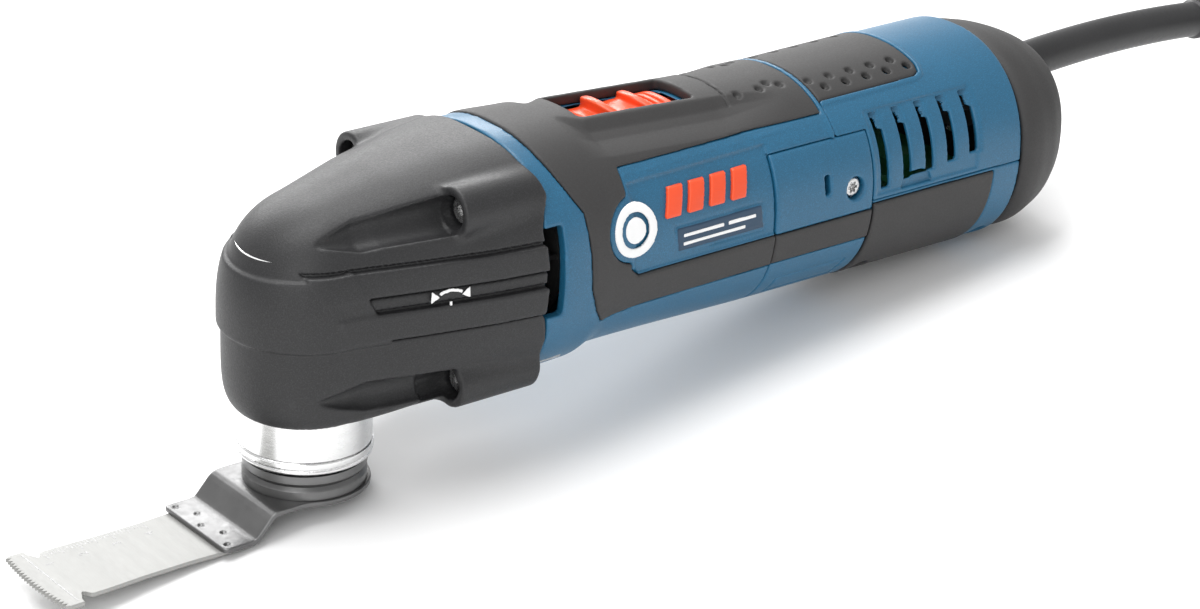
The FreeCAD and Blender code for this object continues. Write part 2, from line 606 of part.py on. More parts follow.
def front_housing_shape():
    """The motor housing: a tube with a seat for the stator and a boss for each head screw."""
    outer = body_hull("ring_front", "body_seam - lap")
    shell = outer.cut(hull(BODY_SECTIONS, BODY_POWER, size("ring_front") - 1, size("body_seam") + 1,
                           size("shell_depth")))
    inside = hull(BODY_SECTIONS, BODY_POWER, size("ring_front"), size("body_seam"), size("grip_depth"))
    seat = Part.makeCylinder(
        size("seat_tube_radius"), size("seat_rear - seat_front"),
        vector(size("seat_front"), 0, MIDDLE), vector(1, 0, 0),
    )
    rib = size("seat_rib_half")
    ribs = slab((size("seat_front"), size("seat_rear")), (-WIDE, WIDE), (MIDDLE - rib, MIDDLE + rib))
    keel = slab((size("seat_front"), size("seat_rear")), (-rib, rib), (0, MIDDLE))
    bosses = [bar.common(inside) for bar in pod_rod("boss_radius", "ring_front", "screw_end + 2")]
    solid = shell.fuse([seat, ribs.common(inside), keel.common(inside)] + bosses)
    room = Part.makeCylinder(
        size("stator_radius + running_gap"), WIDE, vector(size("seat_front") - 1, 0, MIDDLE),
        vector(1, 0, 0),
    )
    bay = slab((size("bay_front"), size("bay_rear")), (-size("bay_half"), size("bay_half")),
               (size("slider_plate_top"), FAR))
    holes = pod_rod("screw_radius", "ring_front - 1", "screw_end")
    return solid.cut([room, bay, cover_zone, overmould] + holes)


keep(shaped(front_housing_shape()), "front_housing")


def cover_grips_shape():
    """A soft strip on each side of the belly cover."""
    skin = layer("cover_front", "cover_rear")
    zone = slab((size("cover_front"), size("cover_rear")), (-WIDE, WIDE),
                (size("strip_low"), size("strip_high")))
    return skin.common(zone)


cover_grips = cover_grips_shape()
keep(shaped(cover_grips), "cover_grips")


def cover_screw_shapes(grow=0.0):
    screws = []
    for side in (-1, 1):
        place = vector(size("cover_screw_x"), side * size("cover_screw_y"), size("cover_screw_z"))
        screws.append(screw(
            size("housing_screw_radius") + grow, size("housing_screw_head") + grow, 2.0 + 6 * grow,
            size("cover_screw_length"), place, vector(0, -side, 0), grow == 0,
        ))
    return screws


def belly_cover_shape():
    """The U-shaped cover under the brushes, held by one screw on each side."""
    outer = body_hull("cover_front", "cover_rear")
    inner = hull(BODY_SECTIONS, BODY_POWER, size("cover_front") - 1, size("cover_rear") + 1,
                 size("shell_depth"))
    zone = slab((size("cover_front"), size("cover_rear")), (-WIDE, WIDE), (0, size("cover_top")))
    return outer.cut(inner).common(zone).cut([cover_grips] + cover_screw_shapes(0.2))


keep(shaped(belly_cover_shape()), "belly_cover")
keep(shaped(Part.makeCompound(cover_screw_shapes())), "cover_screws")

POSTS = [(x, side) for x in ("post_x_front", "post_x_rear") for side in (-1, 1)]


def post_bars(radius, foot, top):
    """Four upright bars where the rear shells are screwed together."""
    return [
        Part.makeCylinder(size(radius), size(f"({top}) - ({foot})"),
                          vector(size(x), side * size("post_y"), size(foot)))
        for x, side in POSTS
    ]


def top_grip_shape():
    zone = slab((size("body_seam"), size("grip_rear")), (-size("grip_half"), size("grip_half")),
                (MIDDLE, FAR))
    return layer("body_seam + lap", "grip_rear").common(zone)


def low_grip_shape():
    zone = slab((size("cover_rear"), size("low_grip_rear")), (-WIDE, WIDE), (0, size("low_grip_top")))
    heads = post_bars("housing_screw_head", "0", "housing_screw_foot")
    return layer("cover_rear + 2 * lap", "low_grip_rear").common(zone).cut(heads)


top_grip = top_grip_shape()
low_grip = low_grip_shape()
keep(shaped(top_grip), "top_rear_grip")
keep(shaped(low_grip), "rear_lower_grip")

dial_slot = slab(
    (size("dial_x - dial_radius - 1.5"), size("dial_x + dial_radius + 1.5")),
    (size("slot_inner"), WIDE),
    (size("dial_foot - dial_slot_gap"), size("dial_top + dial_slot_gap")),
)


def vent_slots():
    """Five upright slots through each side of the upper rear shell."""
    slots = []
    for index in range(int(size("vent_count"))):
        front = size("vent_first") + index * size("vent_pitch")
        low = size("vent_foot") + index * size("vent_rise")
        rear = front + size("vent_width")
        slots.append(slab((front, rear), (-WIDE, -size("slot_inner")), (low, size("vent_top"))))
        if rear < dial_slot.BoundBox.XMin:
            slots.append(slab((front, rear), (size("slot_inner"), WIDE), (low, size("vent_top"))))
    return slots


def rear_shell_shape(low, high, front):
    """Half of the rear housing, between two heights, with its screw posts."""
    outer = body_hull(front, "body_rear")
    shell = outer.cut(hull(BODY_SECTIONS, BODY_POWER, size(front) - 1, size("body_rear") + 1,
                           size("shell_depth")))
    inside = hull(BODY_SECTIONS, BODY_POWER, size(front), size("body_rear"), size("grip_depth"))
    posts = [bar.common(inside) for bar in post_bars("post_radius", "post_foot", "post_top")]
    zone = slab((0, 2 * FAR), (-WIDE, WIDE), (low, high))
    holes = post_bars("housing_screw_radius", "housing_screw_foot", "housing_screw_top")
    heads = post_bars("housing_screw_head", "0", "housing_screw_foot")
    tools = [cover_zone, top_grip, low_grip, dial_slot] + holes + heads
    return shell.fuse(posts).common(zone).cut(tools)


upper = rear_shell_shape(size("shell_split"), FAR, "body_seam + lap").cut(vent_slots())
keep(shaped(upper), "rear_shell_upper")
lower = rear_shell_shape(0, size("shell_split"), "cover_rear + 2 * lap")
keep(shaped(lower), "rear_shell_lower")


def cap_shape():
    """The rounded tail cap, open towards the housing and bored for the cord's sleeve."""
    front, rear, wall = CAP_SECTIONS[0][0], size("cap_rear"), size("cap_wall")
    outer = hull(CAP_SECTIONS, BODY_POWER, front, rear)
    inner = hull(CAP_SECTIONS, BODY_POWER, front - 1, rear - wall, wall)
    hole = Part.makeCylinder(size("cap_hole"), WIDE, vector(front, 0, size("sleeve_apex_z - 2")),
                             vector(1, 0, 0))
    return outer.cut([inner, hole])


keep(shaped(cap_shape()), "tail_cap")

# ---- motor: the turning part, designed along its own Z axis ----

shaft = turned("Shaft", [
    ("0", "shaft_front"), ("shaft_stub_radius", "shaft_front"),
    ("shaft_stub_radius", "shaft_shoulder"), ("shaft_radius", "shaft_shoulder"),
    ("shaft_radius", "shaft_rear_shoulder"), ("rear_bearing_bore", "shaft_rear_shoulder"),
    ("rear_bearing_bore", "shaft_rear"), ("0", "shaft_rear"),
])
keep(shaft, "rotor_shaft", ROTOR)

bush = cut(
    rod("bush_radius", "bush_front", "bush_rear", "0", "axis_height + throw"),
    rod("shaft_stub_radius", "bush_front", "bush_rear", "0", "axis_height"),
)
keep(bush, "eccentric_bush")
keep(sleeve("Roller", "bush_radius", "roller_radius", "roller_front", "roller_rear"),
     "eccentric_bearing", THROWN)

weight = cut(
    rod("weight_radius", "weight_front", "weight_rear", "0", "axis_height"),
    rod("shaft_radius", "weight_front", "weight_rear", "0", "axis_height"),
    box(("weight_front", "weight_rear"), ("0 - weight_radius", "weight_radius"),
        ("axis_height + shaft_radius + 1", "axis_height + 2 * weight_radius")),
)
keep(weight, "counterweight")


def fan_shape():
    """A hub and a disc with straight blades on its front."""
    hub, radius, disc = size("fan_hub_radius"), size("fan_radius"), size("fan_disc")
    front, rear, thick = size("fan_front"), size("fan_rear"), size("fan_blade_thick")
    solid = Part.makeCylinder(hub, rear - front, vector(0, 0, front))
    solid = solid.fuse(Part.makeCylinder(radius, disc, vector(0, 0, rear - disc)))
    for index in range(int(size("fan_blades"))):
        blade = slab((hub - 1, radius - 0.6), (-thick / 2, thick / 2), (front + 1, rear))
        blade.rotate(vector(0, 0, 0), vector(0, 0, 1), 360 * index / size("fan_blades"))
        solid = solid.fuse(blade)
    return solid.cut(Part.makeCylinder(size("shaft_radius"), 200)).removeSplitter()


keep(shaped(fan_shape()), "cooling_fan", ROTOR)


def slotted(radius, front, rear, count, width, depth, bore):
    """A drum with even slots along its outside, such as a laminated core or a commutator."""
    drum = Part.makeCylinder(radius, rear - front, vector(0, 0, front))
    slots = []
    for index in range(count):
        slot = slab((radius - depth, radius + 1), (-width / 2, width / 2), (front - 1, rear + 1))
        slot.rotate(vector(0, 0, 0), vector(0, 0, 1), 360 * index / count)
        slots.append(slot)
    return drum.cut(slots).cut(Part.makeCylinder(bore, 2 * FAR))


core = slotted(size("core_radius"), size("stator_front"), size("stator_rear"), int(size("slot_count")),
               size("slot_width"), size("slot_depth"), size("shaft_radius"))
keep(shaped(core), "armature_core", ROTOR)

winding = group(
    sleeve("FrontTurns", "shaft_radius", "winding_radius", "stator_front - winding_overhang",
           "stator_front"),
    sleeve("RearTurns", "shaft_radius", "winding_radius", "stator_rear",
           "stator_rear + winding_overhang"),
)
keep(winding, "armature_winding", ROTOR)

bars = slotted(size("commutator_radius"), size("commutator_front + riser_width"),
               size("commutator_rear"), 2 * int(size("slot_count")), size("bar_groove"),
               size("bar_groove"), size("shaft_radius"))
riser = Part.makeCylinder(size("riser_radius"), size("riser_width"),
                          vector(0, 0, size("commutator_front")))
riser = riser.cut(Part.makeCylinder(size("shaft_radius"), 2 * FAR))
keep(shaped(bars.fuse(riser).removeSplitter()), "commutator", ROTOR)

# ---- motor: the fixed part ----

coil_spots = (("coil_inner", "coil_outer"), ("0 - coil_outer", "0 - coil_inner"))


def coil_block(spot, clear):
    """One field coil's block, or with a clearance the room that it lies in."""
    low, high = spot
    return box(
        (f"stator_front - coil_overhang - {clear}", f"stator_rear + coil_overhang + {clear}"),
        (f"{low} - {clear}", f"{high} + {clear}"),
        (f"axis_height - coil_half - {clear}", f"axis_height + coil_half + {clear}"),
    )


def coil_window(spot, clear):
    low, high = spot
    return box(
        (f"stator_front + {clear}", f"stator_rear - {clear}"), (f"{low} - 1", f"{high} + 1"),
        (f"axis_height - coil_window_half + {clear}", f"axis_height + coil_window_half - {clear}"),
    )


field_coils = group(*[
    cut(coil_block(spot, "0"), coil_window(spot, "0"))
    for spot in coil_spots
])
keep(field_coils, "field_coils")

stator = cut(
    rod("stator_radius", "stator_front", "stator_rear", "0", "axis_height"),
    rod("stator_bore", "stator_front", "stator_rear", "0", "axis_height"),
    *[cut(coil_block(spot, "coil_clear"), coil_window(spot, "coil_clear")) for spot in coil_spots],
)
keep(stator, "field_stator")

keep(sleeve("FrontBearing", "shaft_radius + running_gap", "front_bearing_radius",
            "front_bearing_x", "front_bearing_x + front_bearing_width"),
     "front_motor_bearing", ROTOR)
keep(sleeve("RearBearing", "rear_bearing_bore + running_gap", "rear_bearing_radius",
            "rear_bearing_x", "rear_bearing_x + rear_bearing_width"),
     "rear_motor_bearing", ROTOR)
bracket = turned("Bracket", [
    ("rear_bearing_radius", "bracket_front"), ("bracket_radius", "bracket_front"),
    ("bracket_radius", "bracket_front + bracket_disc"),
    ("bracket_hub", "bracket_front + bracket_disc"), ("bracket_hub", "bracket_rear"),
    ("rear_bearing_radius", "bracket_rear"),
])
keep(bracket, "bearing_bracket", ROTOR)


def brush_block(near, far, half_x, half_z, side):
    """A block across the tool on one side of the commutator."""
    y_ends = (near, far) if side > 0 else (f"0 - ({far})", f"0 - ({near})")
    return box(
        (f"brush_x - ({half_x})", f"brush_x + {half_x}"), y_ends,
        (f"axis_height - ({half_z})", f"axis_height + {half_z}"),
    )


for side, name in ((-1, "left"), (1, "right")):
    brush = group(brush_block("brush_tip", "brush_tail", "brush_half_x", "brush_half_z", side))
    keep(brush, f"carbon_brush_{name}")
    holder = cut(
        brush_block("holder_front", "holder_rear", "brush_half_x + holder_gap + holder_wall",
                    "brush_half_z + holder_gap + holder_wall", side),
        brush_block("holder_front - 1", "holder_rear - holder_wall", "brush_half_x + holder_gap",
                    "brush_half_z + holder_gap", side),
    )
    keep(holder, f"brush_holder_{name}")
    start, end = "brush_tail", "holder_rear - holder_wall"
    if side < 0:
        start, end = f"0 - ({end})", f"0 - ({start})"
    spring = cut(
        rod("coil_spring_radius", start, end, "brush_x", "axis_height", "y"),
        rod("coil_spring_bore", start, end, "brush_x", "axis_height", "y"),
    )
    keep(spring, f"brush_spring_{name}")

# ---- controls ----

slider = joined(
    box(("slider_plate_front", "slider_plate_rear"), ("0 - slider_half", "slider_half"),
        ("slider_foot", "slider_plate_top")),
    box(("slider_front", "slider_rear"), ("0 - slider_half", "slider_half"),
        ("slider_foot", "slider_top")),
    box(("rib_first - rib_half", "rib_first + rib_half"), ("0 - slider_half", "slider_half"),
        ("slider_foot", "rib_top")),
    box(("rib_second - rib_half", "rib_second + rib_half"), ("0 - slider_half", "slider_half"),
        ("slider_foot", "rib_top - 1")),
)
keep(slider, "switch_slider")
switch_rod = joined(
    box(("slider_plate_rear", "rod_arm_rear"), ("0 - rod_half", "rod_half"), ("rod_foot", "rod_top")),
    box(("rod_arm_front", "rod_arm_rear"), ("0 - rod_half", "rod_half"), ("rod_arm_foot", "rod_top")),
)
keep(switch_rod, "switch_rod")
switch_unit = joined(
    box(("switch_front", "switch_rear"), ("0 - switch_half", "switch_half"),
        ("switch_foot", "switch_top")),
    box(("button_front", "switch_front"), ("0 - rod_half", "rod_half"), ("button_low", "button_high")),
)
keep(switch_unit, "switch_unit")


def dial_shape():
    """The speed wheel, with even notches round its rim."""
    return slotted(size("dial_radius"), 0, size("dial_top - dial_foot"), int(size("dial_notches")),
                   size("dial_notch"), size("dial_notch"), size("dial_bore"))


DIAL = FreeCAD.Placement(
    vector(size("dial_x"), size("dial_y"), size("dial_foot")), FreeCAD.Rotation()
)
keep(shaped(dial_shape()), "speed_dial", DIAL)

board = joined(
    box(("board_front", "board_rear"), ("board_near", "board_far"),
        ("board_foot", "board_foot + board_thick")),
    rod("pot_radius", "board_foot", "pot_top", "dial_x", "dial_y", "z"),
    rod("pot_shaft", "board_foot", "dial_top", "dial_x", "dial_y", "z"),
    box(("board_front + 4", "board_front + 16"), ("board_near + 4", "board_near + 20"),
        ("board_foot", "board_foot + board_thick + chip_height")),
)
keep(board, "control_board")
keep(joined(
    rod("capacitor_radius", "board_front", "board_front + capacitor_length", "0",
        "board_foot - capacitor_radius"),
    rod("capacitor_radius - 1", "board_front", "board_front + capacitor_length + 1", "0",
        "board_foot - capacitor_radius"),
), "capacitor")

# ---- cord, in the standing frame ----


def arc_through(radius, start_x, end_x):
    """An upward-bowed arc in the tool's upright middle plane, between two places along the tool."""
    apex_x, apex_z = size("sleeve_apex_x"), size("sleeve_apex_z")

    def place(x):
        drop = radius - math.sqrt(radius ** 2 - (x - apex_x) ** 2)
        return vector(x, 0, apex_z - drop)

    middle = (start_x + end_x) / 2
    return Part.Arc(place(start_x), place(middle), place(end_x)).toShape()


def round_pipe(edge, radius):
    """A round bar swept along one arc."""
    start = edge.valueAt(edge.FirstParameter)
    ring = Part.makeCircle(radius, start, edge.tangentAt(edge.FirstParameter))
    return Part.Wire([edge]).makePipeShell([Part.Wire([ring])], True, False)


def sleeve_shape():
    """The bend protector, with a collar inside the cap and a lip at its far end."""
    radius, front, rear = size("sleeve_arc"), size("sleeve_front"), size("sleeve_rear")
    stem = round_pipe(arc_through(radius, front, rear), size("sleeve_radius"))
    lip = round_pipe(arc_through(radius, rear - size("lip_length"), rear), size("lip_radius"))
    collar = round_pipe(arc_through(radius, front, front + size("collar_width")), size("collar_radius"))
    return stem.fuse([lip, collar]).removeSplitter()


keep(shaped(sleeve_shape()), "cord_sleeve")

clamp = cut(
    box(("clamp_front", "clamp_rear"), ("0 - clamp_half", "clamp_half"),
        ("clamp_foot", "clamp_foot + clamp_height")),
    rod("cord_radius", "clamp_front - 1", "clamp_rear + 1", "0", "clamp_foot + clamp_height"),
    *[rod("housing_screw_radius", "clamp_foot", "clamp_foot + clamp_height",
          "clamp_front + clamp_screw_inset", f"{side} * (clamp_half - clamp_screw_inset)", "z")
      for side in ("(0 - 1)", "1")],
)
keep(clamp, "cord_clamp")


def housing_screw_shapes():
    """Two screws up through the cord clamp, and one up through each rear post."""
    screws = []
    for side in (-1, 1):
        place = vector(size("clamp_front + clamp_screw_inset"),
                       side * size("clamp_half - clamp_screw_inset"), size("clamp_foot"))
        screws.append((place, size("clamp_height")))
    for x, side in POSTS:
        screws.append((
            vector(size(x), side * size("post_y"), size("housing_screw_foot")),
            size("housing_screw_top - housing_screw_foot"),
        ))
    return [screw(size("housing_screw_radius"), size("housing_screw_head"), 2.0, length, place,
                  vector(0, 0, 1)) for place, length in screws]


keep(shaped(Part.makeCompound(housing_screw_shapes())), "housing_screws")


def smooth_route(points):
    """Straight runs joined by the largest arcs that fit, as one wire."""
    corners = [vector(*point) for point in points]
    edges = []
    here = corners[0]
    for before, corner, after in zip(corners, corners[1:], corners[2:]):
        back, ahead = before - corner, after - corner
        run = min(back.Length, ahead.Length)
        turn = math.pi - back.getAngle(ahead)
        radius = 0.45 * run / math.tan(turn / 2)
        reach = 0.45 * run
        print(f"route radius {radius:.0f}")
        back.normalize()
        ahead.normalize()
        enter, leave = corner + back * reach, corner + ahead * reach
        middle_way = (back + ahead).normalize()
        middle = corner + middle_way * (radius / math.cos(turn / 2) - radius)
        edges += [Part.LineSegment(here, enter).toShape(), Part.Arc(enter, middle, leave).toShape()]
        here = leave
    edges.append(Part.LineSegment(here, corners[-1]).toShape())
    return Part.Wire(edges)


def cord_tube(points):
    """The cord along one route; its volume has to be its section times its length."""
    path = smooth_route(points)
    ring = Part.makeCircle(size("cord_radius"), vector(*points[0]),
                           (vector(*points[1]) - vector(*points[0])))
    tube = path.makePipeShell([Part.Wire([ring])], True, False)
    expected = math.pi * size("cord_radius") ** 2 * path.Length
    print(f"cord tube length {path.Length:.0f} volume ratio {tube.Volume / expected:.4f}")
    return tube


FLOOR = FreeCAD.Placement()
keep(shaped(cord_tube(LEAD_ROUTE)), "cord_lead", pose=FLOOR)
keep(shaped(cord_tube(TAIL_ROUTE)), "cord_tail", pose=FLOOR)

COIL = FreeCAD.Placement(vector(size("coil_x"), size("coil_y"), 0), FreeCAD.Rotation())
coil = turned("Coil", [
    ("coil_in", "coil_low"), ("coil_out", "coil_low"), ("coil_out", "coil_high - coil_shoulder"),
    ("coil_out - coil_shoulder", "coil_high"), ("coil_in + coil_shoulder", "coil_high"),
    ("coil_in", "coil_high - coil_shoulder"),
])
keep(coil, "cord_coil", COIL, FLOOR)

tie = cut(
    box(("coil_in - 4 * tie_gap - tie_thick", "coil_out + tie_gap + tie_thick"),
        ("0 - tie_width / 2", "tie_width / 2"),
        ("coil_low - tie_gap - tie_thick", "coil_high + tie_gap + tie_thick")),
    box(("coil_in - 4 * tie_gap", "coil_out + tie_gap"), ("0 - tie_width", "tie_width"),
        ("coil_low - tie_gap", "coil_high + tie_gap")),
)
keep(tie, "cord_tie", COIL, FLOOR)


def plug_shape():
    """A contour plug lying on its side: a rounded body and a tapered neck for the cord."""
    length, neck = size("plug_length"), size("plug_neck_length")
    half_w, half_h, corner = size("plug_width") / 2, size("plug_height") / 2, size("plug_corner")
    body = Part.makeBox(length, 2 * half_w, 2 * half_h, vector(-length, -half_w, -half_h))
    along = [edge for edge in body.Edges if abs(edge.tangentAt(edge.FirstParameter).x) > 0.9]
    body = body.makeFillet(corner, along)
    cone = Part.makeCone(size("plug_neck_root"), size("plug_neck_radius"), neck, vector(0, 0, 0),
                         vector(1, 0, 0))
    return body.fuse(cone)


PLUG = FreeCAD.Placement(
    vector(size("plug_x"), size("plug_y"), size("plug_z")), FreeCAD.Rotation()
)
keep(shaped(plug_shape()), "plug_body", PLUG, FLOOR)
pins = group(*[
    rod("pin_radius", "0 - plug_length - pin_length", "0 - plug_length", f"{side} * pin_spacing / 2", "0")
    for side in ("0 - 1", "1")
])
keep(pins, "plug_pins", PLUG, FLOOR)

# ---- emblems on the housing's sides ----


def emblem_shapes():
    """A round badge and a row of leaning bars, standing just proud of each side."""
    proud = body_hull("collar_rear", "cover_front", -size("badge_proud"))
    raised = body_hull("collar_rear", "cover_front", -size("bar_proud"))
    skin = body_hull("collar_rear - 1", "cover_front + 1", -size("running_gap"))
    solids = []
    for side in (-1, 1):
        badge = Part.makeCylinder(size("badge_radius"), WIDE,
                                  vector(size("badge_x"), 0, size("badge_z")), vector(0, side, 0))
        solids += badge.common(proud).cut(skin).Solids
        for index in range(int(size("bar_count"))):
            front = size("bar_front") + index * size("bar_pitch")
            lean, wide = size("bar_lean"), size("bar_width")
            bar = grip_outline([
                (front, size("bar_foot")), (front + wide, size("bar_foot")),
                (front + wide + lean, size("bar_top")), (front + lean, size("bar_top")),
            ])
            half = slab((0, FAR + 20), (0, WIDE) if side > 0 else (-WIDE, 0), (0, FAR))
            solids += bar.common(half).common(raised).cut(skin).Solids
    return Part.makeCompound(solids)


keep(shaped(emblem_shapes()), "side_emblems")

# ---- check and write ----

doc.recompute()
for item in doc.Objects:
    failed = [word for word in item.State if word in ("Invalid", "Error")]
    if failed:
        raise RuntimeError(f"{item.Name} ({item.Label}) is {failed}")
os.makedirs("parts", exist_ok=True)
for item in pieces:
    shape = item.Shape
    if shape.isNull() or not shape.isValid() or not shape.Solids:
        raise RuntimeError(f"{item.Label} has no valid solid")
    shape.exportStep(f"parts/{item.Label}.step")
    print(f"{item.Label}: {len(shape.Solids)} solids, {shape.Volume / 1000:.2f} cm3")
print(f"{len(pieces)} sub-parts")
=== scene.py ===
"""Oscillating multi tool: the looks of its visible pieces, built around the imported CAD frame.

Casings are drawn as distance fields in the tool's own frame, in millimetres: the origin is where the
spindle's axis meets the tool flange's lower face, +X runs to the tail and +Z up the spindle. Each
field is meshed and then placed in the row frame, in metres.
"""
import functools
import json
import math

import bmesh
import bpy
import numpy as np
from mathutils import Matrix, Vector


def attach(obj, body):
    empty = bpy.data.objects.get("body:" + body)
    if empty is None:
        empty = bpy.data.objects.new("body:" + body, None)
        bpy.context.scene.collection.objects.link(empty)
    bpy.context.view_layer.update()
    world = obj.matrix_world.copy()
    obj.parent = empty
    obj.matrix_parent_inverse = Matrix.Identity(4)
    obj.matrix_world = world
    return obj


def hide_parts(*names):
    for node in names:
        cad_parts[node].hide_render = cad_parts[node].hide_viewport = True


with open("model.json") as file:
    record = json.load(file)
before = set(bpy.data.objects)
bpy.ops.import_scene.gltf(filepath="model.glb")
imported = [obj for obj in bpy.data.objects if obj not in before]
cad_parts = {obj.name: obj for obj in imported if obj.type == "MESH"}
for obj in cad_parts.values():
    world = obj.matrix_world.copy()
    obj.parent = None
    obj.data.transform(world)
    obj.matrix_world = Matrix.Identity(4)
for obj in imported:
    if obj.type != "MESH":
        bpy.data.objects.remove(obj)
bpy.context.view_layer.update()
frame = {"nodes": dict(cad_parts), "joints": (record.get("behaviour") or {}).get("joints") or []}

MM = 0.001
ROOT = "tool_body"

# ---- the tool's own frame, from its joints ----

joints = {joint["name"]: joint for joint in frame["joints"]}
UP = Vector(joints["spindle_swing"]["axis"]).normalized()
ALONG = Vector(joints["rotor_spin"]["axis"]).normalized()
ORIGIN = Vector(joints["spindle_swing"]["pos_m"])
TURN = Matrix((ALONG, UP.cross(ALONG), UP)).transposed()
TOOL = Matrix.Translation(ORIGIN) @ (TURN * MM).to_4x4()


def placed(points):
    """Points of the tool's frame, in millimetres, as points of the row frame, in metres."""
    turn = np.array(TURN)
    return np.asarray(points, float) @ turn.T * MM + np.array(ORIGIN)


# ---- camera, floor and light ----

CAMERA_PLACE = (-446.3, -663.0, 406.3)
CAMERA_HEADING = math.radians(39.555)
CAMERA_DROP = math.radians(23.915)
CAMERA_ROLL = math.radians(2.499)
CAMERA_LENS = 98.6


def make_camera():
    data = bpy.data.cameras.new("camera")
    data.lens = CAMERA_LENS
    data.sensor_width = 36
    data.clip_start, data.clip_end = 0.01, 20
    heading, drop = CAMERA_HEADING, CAMERA_DROP
    ahead = Vector((math.sin(heading) * math.cos(drop), math.cos(heading) * math.cos(drop),
                    -math.sin(drop)))
    right = Vector((math.cos(heading), -math.sin(heading), 0))
    above = right.cross(ahead)
    roll = Matrix.Rotation(-CAMERA_ROLL, 3, ahead)
    axes = Matrix((roll @ right, roll @ above, -ahead)).transposed()
    camera = in_scene("camera", data)
    camera.matrix_world = Matrix.Translation(TOOL @ Vector(CAMERA_PLACE)) @ (TURN @ axes).to_4x4()
    bpy.context.scene.camera = camera


def area_light(name, place, target, size, power):
    data = bpy.data.lights.new(name, "AREA")
    data.shape = "RECTANGLE"
    data.size, data.size_y = size
    data.energy = power
    lamp = in_scene(name, data)
    lamp.location = place
    lamp.rotation_euler = (Vector(target) - Vector(place)).to_track_quat("-Z", "Y").to_euler()


def make_stage():
    world = bpy.data.worlds.new("studio")
    bpy.context.scene.world = world
    world.use_nodes = True
    world.node_tree.nodes["Background"].inputs["Color"].default_value = (1.0, 1.0, 1.0, 1)
    world.node_tree.nodes["Background"].inputs["Strength"].default_value = 0.72
    bpy.context.scene.view_settings.view_transform = "Standard"
    area_light("top_light", (-0.05, 0.15, 0.9), (0, 0, 0.05), (1.0, 0.5), 8)
    area_light("front_light", (-0.75, -0.55, 0.5), (-0.1, 0, 0.05), (0.5, 0.5), 2.2)
    area_light("rim_light", (0.25, 0.8, 0.45), (0, 0, 0.07), (0.9, 0.3), 7)
    bpy.ops.mesh.primitive_plane_add(size=8)
    floor = bpy.context.object
    floor.name = "floor"
    floor.data.materials.append(flat_white())


def flat_white():
    paper = bpy.data.materials.new("paper")
    paper.use_nodes = True
    shader = paper.node_tree.nodes["Principled BSDF"]
    shader.inputs["Base Color"].default_value = (0.93, 0.93, 0.93, 1)
    shader.inputs["Roughness"].default_value = 0.9
    return paper


# ---- materials ----

def finish(name, colour, roughness, metallic=0.0, grain=900.0, bump=0.25, mottle=0.12,
           speckle=0.0, wear=0.0, coat=0.0, stretch=(1, 1, 1), depth=0.00006):
    """A moulded, cast or brushed surface: mottled colour, speckle, worn edges, grain in the bump."""
    made = bpy.data.materials.new(name)
    made.use_nodes = True
    tree = made.node_tree
    shader = tree.nodes["Principled BSDF"]
    shader.inputs["Metallic"].default_value = metallic
    shader.inputs["Coat Weight"].default_value = coat

    def node(kind, **values):
        item = tree.nodes.new(kind)
        for key, value in values.items():
            setattr(item, key, value)
        return item

    def noise(scale, detail, rough=0.5):
        item = node("ShaderNodeTexNoise")
        item.inputs["Scale"].default_value = scale
        item.inputs["Detail"].default_value = detail
        item.inputs["Roughness"].default_value = rough
        tree.links.new(mapped.outputs["Vector"], item.inputs["Vector"])
        return item

    def mixed(factor, first, second):
        item = node("ShaderNodeMix", data_type="RGBA")
        tree.links.new(factor, item.inputs["Factor"])
        for socket, value in ((item.inputs["A"], first), (item.inputs["B"], second)):
            if isinstance(value, tuple):
                socket.default_value = value
            else:
                tree.links.new(value, socket)
        return item.outputs["Result"]

    def ranged(source, low, high, start, end):
        item = node("ShaderNodeMapRange")
        tree.links.new(source, item.inputs["Value"])
        for key, value in (("From Min", low), ("From Max", high), ("To Min", start), ("To Max", end)):
            item.inputs[key].default_value = value
        return item.outputs["Result"]

    def tinted(share):
        return tuple(min(1.0, channel * share) for channel in colour) + (1,)

    place = node("ShaderNodeTexCoord")
    mapped = node("ShaderNodeMapping")
    mapped.inputs["Scale"].default_value = stretch
    tree.links.new(place.outputs["Object"], mapped.inputs["Vector"])
    cloud = noise(45, 4)
    fine = noise(grain, 3, 0.6)
    shade = mixed(ranged(cloud.outputs["Fac"], 0.3, 0.7, 0, 1), tinted(1 - mottle), tinted(1 + mottle))
    if speckle:
        dots = noise(grain * 1.7, 1)
        lit = ranged(dots.outputs["Fac"], 0.52, 0.68, 0, speckle)
        shade = mixed(lit, shade, tinted(2.4))
        pits = ranged(dots.outputs["Fac"], 0.46, 0.32, 0, speckle)
        shade = mixed(pits, shade, tinted(0.55))
    if wear:
        edge = node("ShaderNodeNewGeometry")
        rub = ranged(edge.outputs["Pointiness"], 0.51, 0.58, 0, wear)
        shade = mixed(rub, shade, tinted(1.9))
    tree.links.new(shade, shader.inputs["Base Color"])
    rough = ranged(fine.outputs["Fac"], 0.3, 0.7, roughness - 0.06, roughness + 0.06)
    tree.links.new(rough, shader.inputs["Roughness"])
    relief = node("ShaderNodeBump")
    relief.inputs["Strength"].default_value = bump
    relief.inputs["Distance"].default_value = depth
    tree.links.new(fine.outputs["Fac"], relief.inputs["Height"])
    tree.links.new(relief.outputs["Normal"], shader.inputs["Normal"])
    return made


